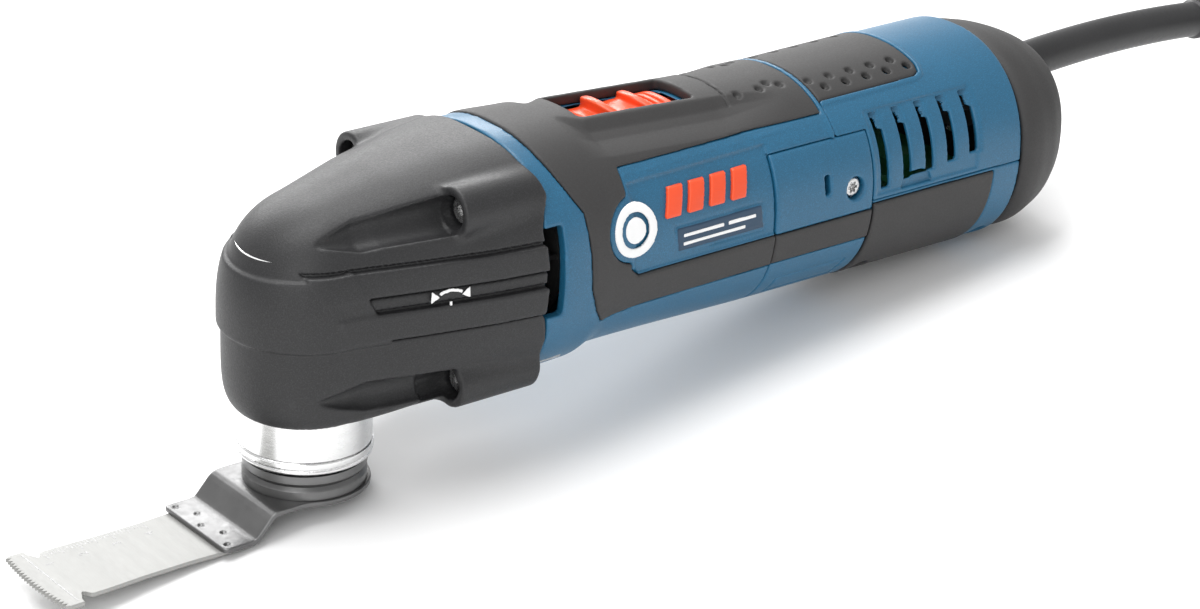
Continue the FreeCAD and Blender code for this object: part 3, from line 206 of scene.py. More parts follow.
BLUE = finish("blue_plastic", (0.012, 0.100, 0.190), 0.38, grain=2100, bump=0.3, mottle=0.05,
              speckle=0.25, wear=0.25)
NAVY = finish("sign_blue", (0.008, 0.040, 0.085), 0.4, grain=1500, bump=0.1, mottle=0.04)
HEAD = finish("head_black", (0.013, 0.013, 0.014), 0.50, grain=1700, bump=1.0, mottle=0.08,
              speckle=0.5, wear=0.35)
GRIP = finish("soft_grip", (0.030, 0.029, 0.029), 0.62, grain=1900, bump=0.4, mottle=0.07,
              speckle=0.12, wear=0.2)
RED = finish("signal_red", (0.80, 0.075, 0.018), 0.36, grain=900, bump=0.12, mottle=0.05, wear=0.15)
WHITE = finish("badge_white", (0.85, 0.85, 0.85), 0.35, grain=900, bump=0.08, mottle=0.02)
ALLOY = finish("cast_aluminium", (0.80, 0.80, 0.80), 0.24, metallic=1.0, grain=700, bump=0.10,
               mottle=0.05, stretch=(0.5, 0.5, 6))
STEEL = finish("dark_steel", (0.13, 0.13, 0.13), 0.36, metallic=0.9, grain=800, bump=0.2,
               mottle=0.12, wear=0.5, stretch=(1, 1, 4))
PLATE = finish("plate_steel", (0.15, 0.15, 0.15), 0.36, metallic=0.85, grain=500, bump=0.10,
               mottle=0.22, wear=0.6)
BLADE = finish("blade_steel", (0.30, 0.30, 0.29), 0.5, metallic=0.25, grain=800, bump=0.12,
               mottle=0.05, wear=0.1, stretch=(6, 0.4, 1))
BEARING = finish("bearing_steel", (0.62, 0.62, 0.62), 0.22, metallic=1.0, grain=700, bump=0.06)
CORE = finish("core_steel", (0.30, 0.30, 0.31), 0.42, metallic=0.9, grain=600, bump=0.3,
              stretch=(8, 1, 1))
COPPER = finish("copper", (0.72, 0.28, 0.12), 0.34, metallic=1.0, grain=700, bump=0.35,
                stretch=(0.3, 2, 2))
CARBON = finish("carbon", (0.03, 0.03, 0.03), 0.6, grain=1400, bump=0.3)
INNER = finish("inner_plastic", (0.05, 0.05, 0.05), 0.5, grain=1200, bump=0.3)
BOARD = finish("circuit_board", (0.02, 0.14, 0.05), 0.4, grain=500, bump=0.25, mottle=0.25)
SCREW = finish("screw_steel", (0.55, 0.55, 0.55), 0.28, metallic=1.0, grain=900, bump=0.12, wear=0.4)
RUBBER = finish("cord_rubber", (0.016, 0.016, 0.017), 0.42, grain=900, bump=0.2, mottle=0.12,
                speckle=0.08)
FABRIC = finish("tie_fabric", (0.03, 0.03, 0.035), 0.85, grain=1500, bump=0.9, speckle=0.3,
                stretch=(1, 0.4, 1))
BRASS = finish("brass_pin", (0.74, 0.74, 0.72), 0.22, metallic=1.0, grain=600, bump=0.08)

CARRIED = {
    "gear_housing": ALLOY, "tool_flange": STEEL, "spindle": BEARING, "fork_lever": STEEL,
    "clamp_bolt": STEEL, "clamp_washer": SCREW, "spindle_seal": RUBBER,
    "lower_spindle_bearing": BEARING, "upper_spindle_bearing": BEARING, "head_screws": SCREW,
    "rotor_shaft": BEARING, "eccentric_bush": STEEL, "eccentric_bearing": BEARING,
    "counterweight": STEEL, "cooling_fan": INNER, "armature_core": CORE, "armature_winding": COPPER,
    "commutator": COPPER, "field_coils": COPPER, "field_stator": CORE,
    "front_motor_bearing": BEARING, "rear_motor_bearing": BEARING, "bearing_bracket": INNER,
    "carbon_brush_left": CARBON, "carbon_brush_right": CARBON, "brush_holder_left": BRASS,
    "brush_holder_right": BRASS, "brush_spring_left": SCREW, "brush_spring_right": SCREW,
    "switch_rod": INNER, "switch_unit": INNER, "speed_dial": INNER, "control_board": BOARD,
    "capacitor": INNER, "cord_clamp": INNER, "housing_screws": SCREW, "plug_pins": BRASS,
}


def paint_carried():
    """Gives each CAD node that stays its finish."""
    for name, paint in CARRIED.items():
        mesh = frame["nodes"][name].data
        mesh.materials.clear()
        mesh.materials.append(paint)


# ---- meshing a distance field ----

CORNERS = [(i, j, k) for i in (0, 1) for j in (0, 1) for k in (0, 1)]
EDGES = [(a, b) for a in CORNERS for b in CORNERS
         if sum(b) - sum(a) == 1 and all(q >= p for p, q in zip(a, b))]


def surface_net(values, low, step):
    """One vertex in each cell that the surface crosses, and a quad for each crossed grid edge."""
    inside = values < 0
    size = np.array(values.shape) - 1
    count = np.zeros(size, np.int8)
    for i, j, k in CORNERS:
        count += inside[i:i + size[0], j:j + size[1], k:k + size[2]]
    cells = np.argwhere((count > 0) & (count < 8))
    place = np.zeros((len(cells), 3))
    crossings = np.zeros(len(cells))
    for start, end in EDGES:
        first = values[tuple((cells + start).T)]
        second = values[tuple((cells + end).T)]
        crossed = (first < 0) != (second < 0)
        share = np.where(crossed, first / np.where(crossed, first - second, 1), 0)
        way = np.array(end) - np.array(start)
        place += np.where(crossed[:, None], np.array(start) + share[:, None] * way, 0)
        crossings += crossed
    points = np.array(low) + step * (cells + place / crossings[:, None])
    number = np.full(size, -1, np.int64)
    number[tuple(cells.T)] = np.arange(len(cells))
    quads = []
    for axis in range(3):
        ahead = np.take(inside, range(1, inside.shape[axis]), axis)
        behind = np.take(inside, range(0, inside.shape[axis] - 1), axis)
        changed = np.argwhere(ahead != behind)
        side, other = [a for a in range(3) if a != axis]
        fits = ((changed[:, side] > 0) & (changed[:, other] > 0)
                & (changed[:, side] < size[side]) & (changed[:, other] < size[other]))
        changed = changed[fits]
        ring = []
        for back_side, back_other in ((1, 1), (0, 1), (0, 0), (1, 0)):
            near = changed.copy()
            near[:, side] -= back_side
            near[:, other] -= back_other
            ring.append(number[tuple(near.T)])
        faces = np.stack(ring, 1)
        flip = behind[tuple(changed.T)]
        if axis == 1:
            flip = ~flip
        faces[~flip] = faces[~flip][:, ::-1]
        quads.append(faces)
    return points, np.concatenate(quads)


def in_scene(name, data):
    """A new object for a mesh, curve, lamp or camera, linked to the scene."""
    item = bpy.data.objects.new(name, data)
    bpy.context.scene.collection.objects.link(item)
    return item


def mesh_from(name, points, faces, paint):
    """A smooth-shaded object from points in the row frame and faces of one size."""
    mesh = bpy.data.meshes.new(name)
    sides = faces.shape[1]
    mesh.vertices.add(len(points))
    mesh.vertices.foreach_set("co", np.asarray(points, np.float32).ravel())
    mesh.loops.add(faces.size)
    mesh.loops.foreach_set("vertex_index", faces.astype(np.int32).ravel())
    mesh.polygons.add(len(faces))
    mesh.polygons.foreach_set("loop_start", np.arange(0, faces.size, sides, dtype=np.int32))
    mesh.polygons.foreach_set("use_smooth", np.ones(len(faces), bool))
    mesh.update(calc_edges=True)
    mesh.validate()
    mesh.materials.append(paint)
    return in_scene(name, mesh)


def settle(item, body, stands_for):
    """Rides a finished piece on its body, in place of its CAD nodes."""
    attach(item, body)
    if stands_for:
        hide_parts(*stands_for)
    return item


def grid(low, high, step):
    spans = [np.arange(a, b + step, step, dtype=np.float32) for a, b in zip(low, high)]
    return spans[0][:, None, None], spans[1][None, :, None], spans[2][None, None, :]


def meshed(field, low, high, step):
    """The points and faces of a field's surface inside a box."""
    spans = grid(low, high, step)
    shape = tuple(span.size for span in spans)
    return surface_net(np.ascontiguousarray(np.broadcast_to(field(*spans), shape)), low, step)


def cast(name, field, low, high, step, paint, body=ROOT, stands_for=(), thin=1.0):
    """Meshes a field of the tool's frame inside a box, and places it as a piece."""
    points, faces = meshed(field, low, high, step)
    item = mesh_from(name, placed(points), faces, paint)
    if thin < 1:
        lighter = item.modifiers.new("lighter", "DECIMATE")
        lighter.ratio = thin
        apply_modifiers(item)
    print(f"{name}: {len(item.data.polygons)} faces")
    return settle(item, body, stands_for)


def apply_modifiers(item):
    graph = bpy.context.evaluated_depsgraph_get()
    finished = bpy.data.meshes.new_from_object(item.evaluated_get(graph))
    item.modifiers.clear()
    item.data = finished


# ---- field tools ----

def joined(first, second, soft=0.0):
    """The union of two fields, with a fillet."""
    if not soft:
        return np.minimum(first, second)
    blend = np.maximum(soft - np.abs(first - second), 0) / soft
    return np.minimum(first, second) - blend * blend * soft / 4


def shared(first, second, soft=0.0):
    return -joined(-first, -second, soft)


def any_of(fields):
    return functools.reduce(np.minimum, fields)


def cut(base, tool, soft=0.0):
    return shared(base, -tool, soft)


def block(x, y, z, x_ends, y_ends, z_ends, corner=0.0):
    """A box with rounded edges."""
    gaps = []
    for value, (low, high) in zip((x, y, z), (x_ends, y_ends, z_ends)):
        gaps.append(np.abs(value - (low + high) / 2) - (high - low) / 2 + corner)
    outside = np.sqrt(sum(np.maximum(gap, 0) ** 2 for gap in gaps))
    return outside + np.minimum(np.maximum(np.maximum(gaps[0], gaps[1]), gaps[2]), 0) - corner


def bar(across, up, radius):
    """An endless round bar, from two distances across it."""
    return np.sqrt(across ** 2 + up ** 2) - radius


def ball(x, y, z, place, radius):
    return np.sqrt((x - place[0]) ** 2 + (y - place[1]) ** 2 + (z - place[2]) ** 2) - radius


def outline(x, z, corners):
    """The distance to a closed outline of straight sides, negative inside it."""
    distance = np.full(np.broadcast(x, z).shape, 1e9, np.float32)
    crossed = np.zeros(distance.shape, bool)
    for (ax, az), (bx, bz) in zip(corners, corners[1:] + corners[:1]):
        run, rise = bx - ax, bz - az
        share = np.clip(((x - ax) * run + (z - az) * rise) / (run * run + rise * rise), 0, 1)
        distance = np.minimum(distance, (x - ax - share * run) ** 2 + (z - az - share * rise) ** 2)
        if az != bz:
            crossed ^= ((az > z) != (bz > z)) & (x < run * (z - az) / rise + ax)
    return np.where(crossed, -1, 1) * np.sqrt(distance)


def flowing(points, soften=4.0, step=0.25):
    """A smooth line near the listed points, as a function."""
    xs = np.arange(points[0][0] - 40, points[-1][0] + 40, step)
    ys = np.interp(xs, *zip(*points))
    window = np.hanning(int(2 * soften / step) + 3)
    padded = np.pad(ys, len(window), mode="edge")
    ys = np.convolve(padded, window / window.sum(), "same")[len(window):-len(window)]
    return lambda x: np.interp(x, xs, ys).astype(np.float32)


def oval(across, up, half, top, low, power, low_power):
    """About the distance to a superellipse whose upper and lower halves have their own powers."""
    middle, rise = (top + low) / 2, (top - low) / 2
    u = np.maximum(np.abs(across) / half, 1e-4)
    v = np.maximum(np.abs(up - middle) / rise, 1e-4)

    def measured(p):
        scale = (u ** p + v ** p) ** (1 / p)
        steep = np.sqrt((u ** (p - 1) / half) ** 2 + (v ** (p - 1) / rise) ** 2) * scale ** (1 - p)
        return (scale - 1) / steep

    return np.where(up > middle, measured(power), measured(low_power)).astype(np.float32)


# ---- the casings' outlines ----

HEAD_HALF = flowing([(-30, 22.5), (0, 22.5), (20, 27.5), (40, 32), (57, 34.6)])
HEAD_TOP = flowing([(-30, 73.5), (0, 80.5), (20, 85), (40, 88), (57, 89.3)])
HEAD_LOW = flowing([(-30, 20), (20, 20), (40, 19.6), (57, 18.8)])
HEAD_LOW_POWER = flowing([(-30, 6), (0, 6), (20, 4), (40, 3), (57, 2.5)])
HEAD_POWER = 2.8

BODY_HALF = flowing([(48, 34.6), (63, 35), (70, 34.5), (85, 33.5), (136, 33), (204, 33), (235, 33.3)])
BODY_TOP = flowing([(48, 88.9), (63, 89.4), (85, 89), (136, 86), (163, 85.5), (204, 86), (235, 86)])
BODY_LOW = flowing([(48, 18.9), (73, 19.2), (78, 21.6), (100, 21.4), (136, 20.5), (235, 20)], 2.5)
BODY_POWER = flowing([(48, 2.5), (60, 2.4), (85, 2.15), (235, 2.2)])
BODY_LOW_POWER = 2.3

CAP_HALF = flowing([(230, 35), (242, 35), (250, 32.6), (256, 29), (262, 22.6)], 3)
CAP_TOP = flowing([(230, 83.8), (242, 83.4), (250, 81.6), (256, 79.4), (262, 76)], 3)
CAP_LOW = flowing([(230, 21.2), (242, 21.6), (250, 24.2), (256, 28), (262, 35)], 3)


def head_form(x, y, z):
    """The head: an upright round nose whose section widens towards the housing."""
    reach = np.sqrt(y ** 2 + np.minimum(x, 0) ** 2)
    return oval(reach, z, HEAD_HALF(x), HEAD_TOP(x), HEAD_LOW(x), HEAD_POWER, HEAD_LOW_POWER(x))


def body_form(x, y, z):
    return oval(y, z, BODY_HALF(x), BODY_TOP(x), BODY_LOW(x), BODY_POWER(x), BODY_LOW_POWER)


def cap_form(x, y, z):
    return oval(y, z, CAP_HALF(x), CAP_TOP(x), CAP_LOW(x), BODY_LOW_POWER, BODY_LOW_POWER)


# where the head's rear edge lies, by height
HEAD_REAR = flowing([(10, 55.5), (30, 56.2), (38, 56.2), (44, 55), (46, 54), (58, 55), (70, 54),
                     (72, 54.6), (79, 56.4), (86, 54.4), (92, 53.4)], 1.2)
SEAM_GAP = 0.25
AXIS_Z = 53.0

# ---- head ----

POD_Y, POD_RISE, POD_RADIUS, POD_FRONT = 23.6, 24.5, 7.2, 30.0
MOUTH_RADIUS, MOUTH_END = 4.7, 36.3


# the slanting edges at which the belts and the side panel end: lower point, upper point
HIGH_BELT_END = ((-7.9, 59.3), (-11.7, 66.4))
LOW_BELT_END = ((-1.1, 47.2), (-5.2, 54.4))
PANEL_END = ((10.3, 45.9), (0.3, 66.5))
PANEL_LOW, PANEL_TOP, PANEL_CLIMB = 45.6, 66.5, 0.0865
# each belt's low and high edge, how proud it stands, and where it ends
BELTS = [(59.2, 66.4, 1.1, HIGH_BELT_END), (46.8, 54.6, 1.5, LOW_BELT_END)]
CREASES = [(66.7, HIGH_BELT_END), (58.9, HIGH_BELT_END), (54.9, LOW_BELT_END), (46.5, LOW_BELT_END)]
CREASE_HALF, CREASE_DEPTH = 0.35, 0.9
HEAD_WALL, NECK_HOLE, NECK_HOLE_TOP = 2.3, 18.45, 40.0


def slanted(x, z, edge):
    """The distance from a slanting upright edge: negative behind it, towards the tail."""
    start, end = edge
    run, rise = end[0] - start[0], end[1] - start[1]
    length = math.hypot(run, rise)
    return -((x - start[0]) * rise - (z - start[1]) * run) / length


def panel_proud(x):
    """How far the side panel stands out, less and less towards the housing."""
    return np.interp(x, (0, 30, 57), (1.2, 1.0, 0.35)).astype(np.float32)


def head_field(x, y, z):
    form = head_form(x, y, z)
    solid = form
    for low, high, proud, end in BELTS:
        belt = shared(np.maximum(low - z, z - high), slanted(x, z, end))
        solid = joined(solid, shared(form - proud, belt, 0.3), 0.2)
    for level, end in CREASES:
        crease = shared(np.abs(z - level) - CREASE_HALF, slanted(x, z, end))
        solid = cut(solid, shared(crease, -(form + CREASE_DEPTH)), 0.4)
    panel = shared(-slanted(x, z, PANEL_END),
                   np.maximum(PANEL_LOW - z, z - PANEL_TOP - PANEL_CLIMB * x))
    solid = joined(solid, shared(form - panel_proud(x), panel, 0.8), 0.6)
    side = np.abs(y)
    for level in (-1, 1):
        up = z - AXIS_Z - level * POD_RISE
        pod = shared(bar(side - POD_Y, up, POD_RADIUS), POD_FRONT - x, 1.0)
        solid = joined(solid, pod, 2.2)
    shell = cut(solid, form + HEAD_WALL)
    for level in (-1, 1):
        up = z - AXIS_Z - level * POD_RISE
        lining = shared(bar(side - POD_Y, up, MOUTH_RADIUS + 1.3), np.maximum(-6 - x, x - 45))
        shell = joined(shell, shared(lining, form + 0.5))
        channel = scoop(x, side, z, level)
        shell = joined(shell, shared(channel - 1.8, form + 0.8))
        shell = cut(shell, channel, 0.6)
        mouth = shared(bar(side - POD_Y, up, MOUTH_RADIUS), np.maximum(22 - x, x - MOUTH_END))
        shell = cut(shell, mouth, 0.4)
    neck = shared(bar(x, y, NECK_HOLE), z - NECK_HOLE_TOP)
    shell = cut(shell, neck, 0.5)
    return shared(shell, x - HEAD_REAR(z), 0.8)


SCOOP_UP = [(-7, 74.0), (10, 76.4), (30, 77.6)]
SCOOP_OUT = [(-7, 15.6), (10, 20.6), (30, 24.4)]
SCOOP_LOW = [(-9, 31.2), (10, 30.2), (30, 29.0)]
SCOOP_LOW_OUT = [(-9, 20.8), (10, 24.6), (30, 26.2)]


def scoop(x, side, z, level):
    """A tapered channel in front of a pod's mouth, along the casing's surface."""
    ups, outs = (SCOOP_UP, SCOOP_OUT) if level > 0 else (SCOOP_LOW, SCOOP_LOW_OUT)
    across = side - np.interp(x, *zip(*outs)).astype(np.float32)
    up = z - np.interp(x, *zip(*ups)).astype(np.float32)
    radius = np.interp(x, (ups[0][0], 4, 30), (0.8, 4.6, 5.6)).astype(np.float32)
    channel = np.sqrt(across ** 2 + up ** 2) - radius
    return shared(channel, np.maximum(ups[0][0] - x, x - POD_FRONT + 0.4))


def make_head():
    cast("head_casing", head_field, (-25.5, -37, 17), (58.5, 37, 91.5), 0.5, HEAD,
         stands_for=["head_cover"], thin=0.62)


# ---- front housing and its soft grip ----

GRIP_LIFT, GRIP_DEPTH, BODY_WALL = 0.45, 1.3, 3.4
BODY_SEAM = 162.9
BADGE_X, BADGE_Z, BADGE_RADIUS = 85.6, 63.0, 7.6
GRIP_SIDE = [
    (59.5, 130), (60, 89), (61, 85), (63, 80.3), (66, 75), (68.4, 71.5), (69.6, 60), (70.3, 49.7),
    (73.0, 42.5), (76.4, 37.6), (80.0, 38.4),
    (90.0, 39.4), (137.3, 40.2), (137.3, 49.6), (87.0, 49.6), (84.4, 52.0), (84.4, 79.0),
    (161.4, 78.2), (161.4, 130),
]
BAY_FRONT, BAY_REAR, BAY_HALF = 84.0, 125.0, 8.3


def grip_zone(x, z):
    zone = outline(x, z, GRIP_SIDE)
    return cut(zone, bar(x - BADGE_X, z - BADGE_Z, BADGE_RADIUS + 1.7), 0.8)


def plateau(x, y):
    """How deep the grip's sides drop away beside the switch's raised frame."""
    edge = np.interp(x, (78, 84, 136, 151), (6, 10.2, 10.2, 12.5)).astype(np.float32)
    deep = np.interp(x, (76, 84, 130, 152), (0.0, 2.1, 2.1, 0.0)).astype(np.float32)
    ramp = np.clip((np.abs(y) - edge) / 2.6, 0, 1)
    rise = np.clip((23 - np.abs(y)) / 7, 0, 1)
    return deep * ramp * rise


DIMPLES = [(139.3, -19.0), (147.7, -18.5), (155.3, -18.7), (151.7, -15.5)]
REAR_DIMPLES = [(168.9 + 8.0 * n, 27.3) for n in range(5)] + [(165.3 + 8.0 * n, 21.0) for n in range(5)]


def dimpled(solid, x, y, z, spots):
    """Small round hollows at places given along the tool and by the angle from the top."""
    for place_x, angle in spots:
        for side in (-1, 1):
            turn = math.radians(angle) * side
            reach = 33.7
            centre = (place_x, reach * math.sin(turn), AXIS_Z + reach * math.cos(turn))
            solid = cut(solid, ball(x, y, z, centre, 1.4), 0.4)
    return solid


def overmould_field(x, y, z):
    form = body_form(x, y, z) + plateau(x, y)
    solid = shared(form - GRIP_LIFT, -(body_form(x, y, z) + GRIP_DEPTH + 1.4))
    solid = shared(solid, grip_zone(x, z), 0.9)
    bay = block(x, y, z, (BAY_FRONT, BAY_REAR), (-BAY_HALF, BAY_HALF), (60, 130), 1.2)
    solid = cut(solid, bay, 0.6)
    step = shared(np.abs(x - 135.3 + 0.05 * np.abs(y)) - 0.35, form * -1 - 0.5)
    solid = cut(solid, shared(step, np.abs(y) - 12.5), 0.3)
    return dimpled(shared(solid, x - BODY_SEAM, 0.8), x, y, z, DIMPLES)


def body_shell(x, z, form):
    """The blue wall, drawn in where the soft grips lie."""
    wall = shared(form, -(form + BODY_WALL))
    under = shared(grip_zone(x, z) - 0.1, -(form + GRIP_DEPTH + 1.5))
    return cut(wall, under)


WINDOW = [(86.0, 50.6), (137.0, 50.6), (137.0, 74.6), (86.0, 74.6)]
SIGN = [(101.0, 52.4), (133.6, 52.4), (132.6, 60.4), (100.4, 60.4)]


def housing_field(x, y, z):
    form = body_form(x, y, z)
    wall = body_shell(x, z, form)
    window = shared(outline(x, z, WINDOW), -(form + 0.7))
    wall = cut(wall, window, 1.2)
    sign = np.abs(outline(x, z, SIGN)) - 0.22
    wall = cut(wall, shared(sign, -(form + 1.15)))
    ridge = shared(np.abs(z - 77.2) - 0.25, np.maximum(85 - x, x - 160))
    wall = joined(wall, shared(shared(form - 0.25, ridge), -form - 1))
    seam = np.maximum(161.6 - x, 70 - z)
    wall = joined(wall, shared(shared(form - 0.45, seam, 0.3), -form - 1))
    slot = block(x, np.abs(y), z, (40, 60.4), (22, 50), (44.6, 70.2), 0.8)
    wall = cut(wall, slot, 0.7)
    bay = block(x, y, z, (BAY_FRONT + 0.9, BAY_REAR - 0.9), (-7.75, 7.75), (60, 130), 1.0)
    wall = cut(wall, bay, 0.4)
    cover = np.maximum(COVER_FRONT - SEAM_GAP - x, z - COVER_TOP - SEAM_GAP)
    wall = cut(wall, cover)
    wall = shared(wall, HEAD_REAR(z) + SEAM_GAP - x, 0.6)
    return shared(wall, x - BODY_SEAM, 0.5)


def make_front():
    cast("front_casing", housing_field, (50, -37, 17), (164, 37, 91.5), 0.55, BLUE,
         stands_for=["front_housing"], thin=0.55)
    cast("front_grip", overmould_field, (58, -37, 35), (164, 37, 91.5), 0.5, GRIP,
         stands_for=["front_overmould"], thin=0.75)


# ---- belly cover ----

COVER_FRONT, COVER_REAR, COVER_TOP = 137.6, 174.6, 72.2
STRIP_LOW, STRIP_HIGH = 40.2, 49.6
SCREW_X, SCREW_Z = 167.7, 57.2


def cover_zone(x, z):
    return np.maximum(np.maximum(COVER_FRONT - x, x - COVER_REAR), z - COVER_TOP)


def belly_field(x, y, z):
    form = body_form(x, y, z)
    wall = shared(form, -(form + BODY_WALL))
    strip = np.maximum(STRIP_LOW - z, z - STRIP_HIGH)
    wall = cut(wall, shared(strip, -(form + 1.4)))
    wall = shared(wall, cover_zone(x, z), 0.8)
    wall = cut(wall, bar(x - SCREW_X, z - SCREW_Z, 3.4), 0.6)
    slit = block(x, np.abs(y), z, (156.0, 158.0), (28, 50), (57.4, 63.4), 0.5)
    wall = cut(wall, slit, 0.3)
    foot = np.abs(outline(x, z, [(143, 27.5), (168, 27.5), (169.5, 33.5), (143, 33.5)])) - 0.25
    return cut(wall, shared(foot, -(form + 0.45)))


def belly_grip_field(x, y, z):
    form = body_form(x, y, z)
    skin = shared(form - 0.35, -(form + GRIP_DEPTH))
    zone = np.maximum(np.maximum(COVER_FRONT - x, x - COVER_REAR),
                      np.maximum(STRIP_LOW + 0.1 - z, z - STRIP_HIGH + 0.1))
    return shared(skin, zone, 0.9)


def torx_screw(name, paint):
    """The cover's two pan-head screws, each with a six-lobed recess."""
    def field(x, y, z):
        across, up = x - SCREW_X, z - SCREW_Z
        angle = np.arctan2(up, across)
        lobes = np.sqrt(across ** 2 + up ** 2) - 1.35 - 0.4 * np.cos(6 * angle)
        head = shared(bar(across, up, 3.0), np.maximum(29.0 - np.abs(y), np.abs(y) - 31.4), 0.9)
        head = cut(head, shared(lobes, 30.0 - np.abs(y)))
        shank = shared(bar(across, up, 1.5), np.maximum(16.5 - np.abs(y), np.abs(y) - 29.5))
        return joined(head, shank)

    cast(name, field, (164, -33, 53.5), (171.4, 33, 61), 0.22, paint,
         stands_for=["cover_screws"], thin=0.5)


def make_belly():
    cast("belly_casing", belly_field, (136.5, -35, 18.5), (176, 35, 74), 0.5, BLUE,
         stands_for=["belly_cover"], thin=0.7)
    cast("belly_grips", belly_grip_field, (136.5, -35, 38), (176, 35, 52), 0.4, GRIP,
         stands_for=["cover_grips"])
    torx_screw("torx_screws", SCREW)


# ---- rear housing ----

REAR_FRONT, REAR_END, SHELL_SPLIT = 163.2, 234.3, 52.0
TOP_GRIP_REAR, TOP_GRIP_HALF = 204.0, 19.3
LOW_GRIP_FRONT, LOW_GRIP_REAR, LOW_GRIP_TOP = 175.1, 223.6, 51.0
VENT_FIRST, VENT_PITCH, VENT_COUNT = 178.0, 8.9, 5
DIAL_X, DIAL_REACH = 215.0, 11.1


def top_grip_zone(x, y, z):
    """Across the top, narrowing to rounded corners at the rear."""
    plan = outline(x, np.abs(y), [(150, -5), (TOP_GRIP_REAR, -5), (TOP_GRIP_REAR, TOP_GRIP_HALF - 3.5),
                                  (TOP_GRIP_REAR - 1, TOP_GRIP_HALF - 1),
                                  (TOP_GRIP_REAR - 3.5, TOP_GRIP_HALF), (150, TOP_GRIP_HALF)])
    return np.maximum(plan, AXIS_Z - z)


def low_grip_zone(x, z):
    return outline(x, z, [(LOW_GRIP_FRONT, 0), (LOW_GRIP_REAR - 2, 0), (LOW_GRIP_REAR, 30),
                          (LOW_GRIP_REAR, LOW_GRIP_TOP), (LOW_GRIP_FRONT, LOW_GRIP_TOP)])


def vented(wall, form, x, y, z):
    """Five louvres on each side: an upright slot with a bevel that rises behind it."""
    side = np.abs(y)
    recess = shared(outline(x, z, [(176.4, 53.6), (216, 53.6), (217.5, 76.2), (176.4, 76.2)]),
                    -(form + 0.45))
    wall = cut(wall, recess, 0.9)
    pocket = outline(x, z, [(175.6, 53.4), (218, 53.4), (218, 73.5), (175.6, 73.5)])
    wall = cut(wall, shared(pocket, form + 1.9))
    for index in range(VENT_COUNT):
        front = VENT_FIRST + index * VENT_PITCH
        low = 54.8 + 0.9 * index
        slot = block(x, side, z, (front, front + 3.3), (20, 50), (low, 71.2), 0.6)
        ramp = (form + 2.6) - 0.55 * (x - front)
        louvre = shared(-ramp, np.maximum(np.maximum(front - x, x - front - 5.4),
                                          np.maximum(low - z, z - 75.4)), 0.3)
        if front < DIAL_X - DIAL_REACH - 3:
            wall = cut(cut(wall, louvre, 0.3), slot)
        else:
            near = np.where(y < 0, 0, 10).astype(np.float32)
            wall = cut(cut(wall, louvre + near, 0.3), slot + near)
    hollow = outline(x, z, [(186, 53.2), (198.4, 53.2), (197, 56.4), (194, 57.6), (187.4, 57.4)])
    return cut(wall, shared(hollow, -(form + 1.5)), 0.4)


def upper_field(x, y, z):
    form = body_form(x, y, z)
    rim = shared(top_grip_zone(x, y, z) - 1.5, -(top_grip_zone(x, y, z)))
    proud = joined(form, shared(form - 0.5, rim, 0.4), 0.4)
    wall = shared(proud, -(form + BODY_WALL))
    wall = cut(wall, shared(top_grip_zone(x, y, z) - 0.05, -(form + 1.5)))
    wall = vented(wall, form, x, y, z)
    dial = block(x, y, z, (DIAL_X - DIAL_REACH, DIAL_X + DIAL_REACH), (26, 60), (59.5, 65.5), 0.6)
    wall = cut(wall, dial, 0.6)
    wall = cut(wall, cover_zone(x, z) - SEAM_GAP)
    wall = shared(wall, SHELL_SPLIT + 0.06 - z, 0.25)
    return shared(wall, np.maximum(REAR_FRONT - x, x - REAR_END), 0.6)


def lower_field(x, y, z):
    form = body_form(x, y, z)
    wall = shared(form, -(form + BODY_WALL))
    wall = cut(wall, shared(low_grip_zone(x, z) - 0.05, -(form + 1.5)))
    for place in (181.0, 229.6):
        wall = cut(wall, shared(bar(x - place, np.abs(y) - 21, 3.3), z - 32), 0.5)
    wall = shared(wall, z - SHELL_SPLIT + 0.06, 0.25)
    return shared(wall, np.maximum(COVER_REAR + 0.3 - x, x - REAR_END), 0.6)


def top_grip_field(x, y, z):
    form = body_form(x, y, z)
    skin = shared(form - 0.35, -(form + GRIP_DEPTH))
    skin = shared(skin, shared(top_grip_zone(x, y, z) + 0.1, 163.3 - x), 0.8)
    return dimpled(skin, x, y, z, REAR_DIMPLES)


def low_grip_field(x, y, z):
    form = body_form(x, y, z)
    skin = shared(form - 0.35, -(form + GRIP_DEPTH))
    skin = shared(skin, low_grip_zone(x, z) + 0.1, 0.8)
    return cut(skin, shared(bar(x - 181, np.abs(y) - 21, 3.4), z - 32), 0.5)


def make_rear():
    cast("rear_casing_upper", upper_field, (162, -35, 50.5), (235.5, 35, 88), 0.45, BLUE,
         stands_for=["rear_shell_upper"], thin=0.62)
    cast("rear_casing_lower", lower_field, (173.5, -35, 18.5), (235.5, 35, 53), 0.5, BLUE,
         stands_for=["rear_shell_lower"], thin=0.7)
    cast("rear_top_grip", top_grip_field, (162, -21, 70), (205.5, 21, 88), 0.4, GRIP,
         stands_for=["top_rear_grip"])
    cast("rear_low_grip", low_grip_field, (174, -35, 18), (225, 35, 52.5), 0.45, GRIP,
         stands_for=["rear_lower_grip"])


# ---- tail cap ----

CAP_FRONT, CAP_REAR, SLEEVE_Z = 234.6, 262.0, 66.4


def cap_field(x, y, z):
    form = cap_form(x, y, z)
    solid = shared(form, np.maximum(CAP_FRONT - x, x - CAP_REAR), 5.0)
    solid = cut(solid, shared(form + 3.0, x - CAP_REAR + 3.0))
    front = np.maximum(CAP_FRONT - x, x - CAP_REAR)
    solid = shared(solid, front, 0.8)
    return cut(solid, shared(bar(y, z - SLEEVE_Z, 6.3), 250 - x), 0.6)


def make_cap():
    cast("tail_casing", cap_field, (233.5, -37, 19.5), (263.5, 37, 86), 0.5, GRIP,
         stands_for=["tail_cap"], thin=0.7)


# ---- cord, coil, tie and plug ----

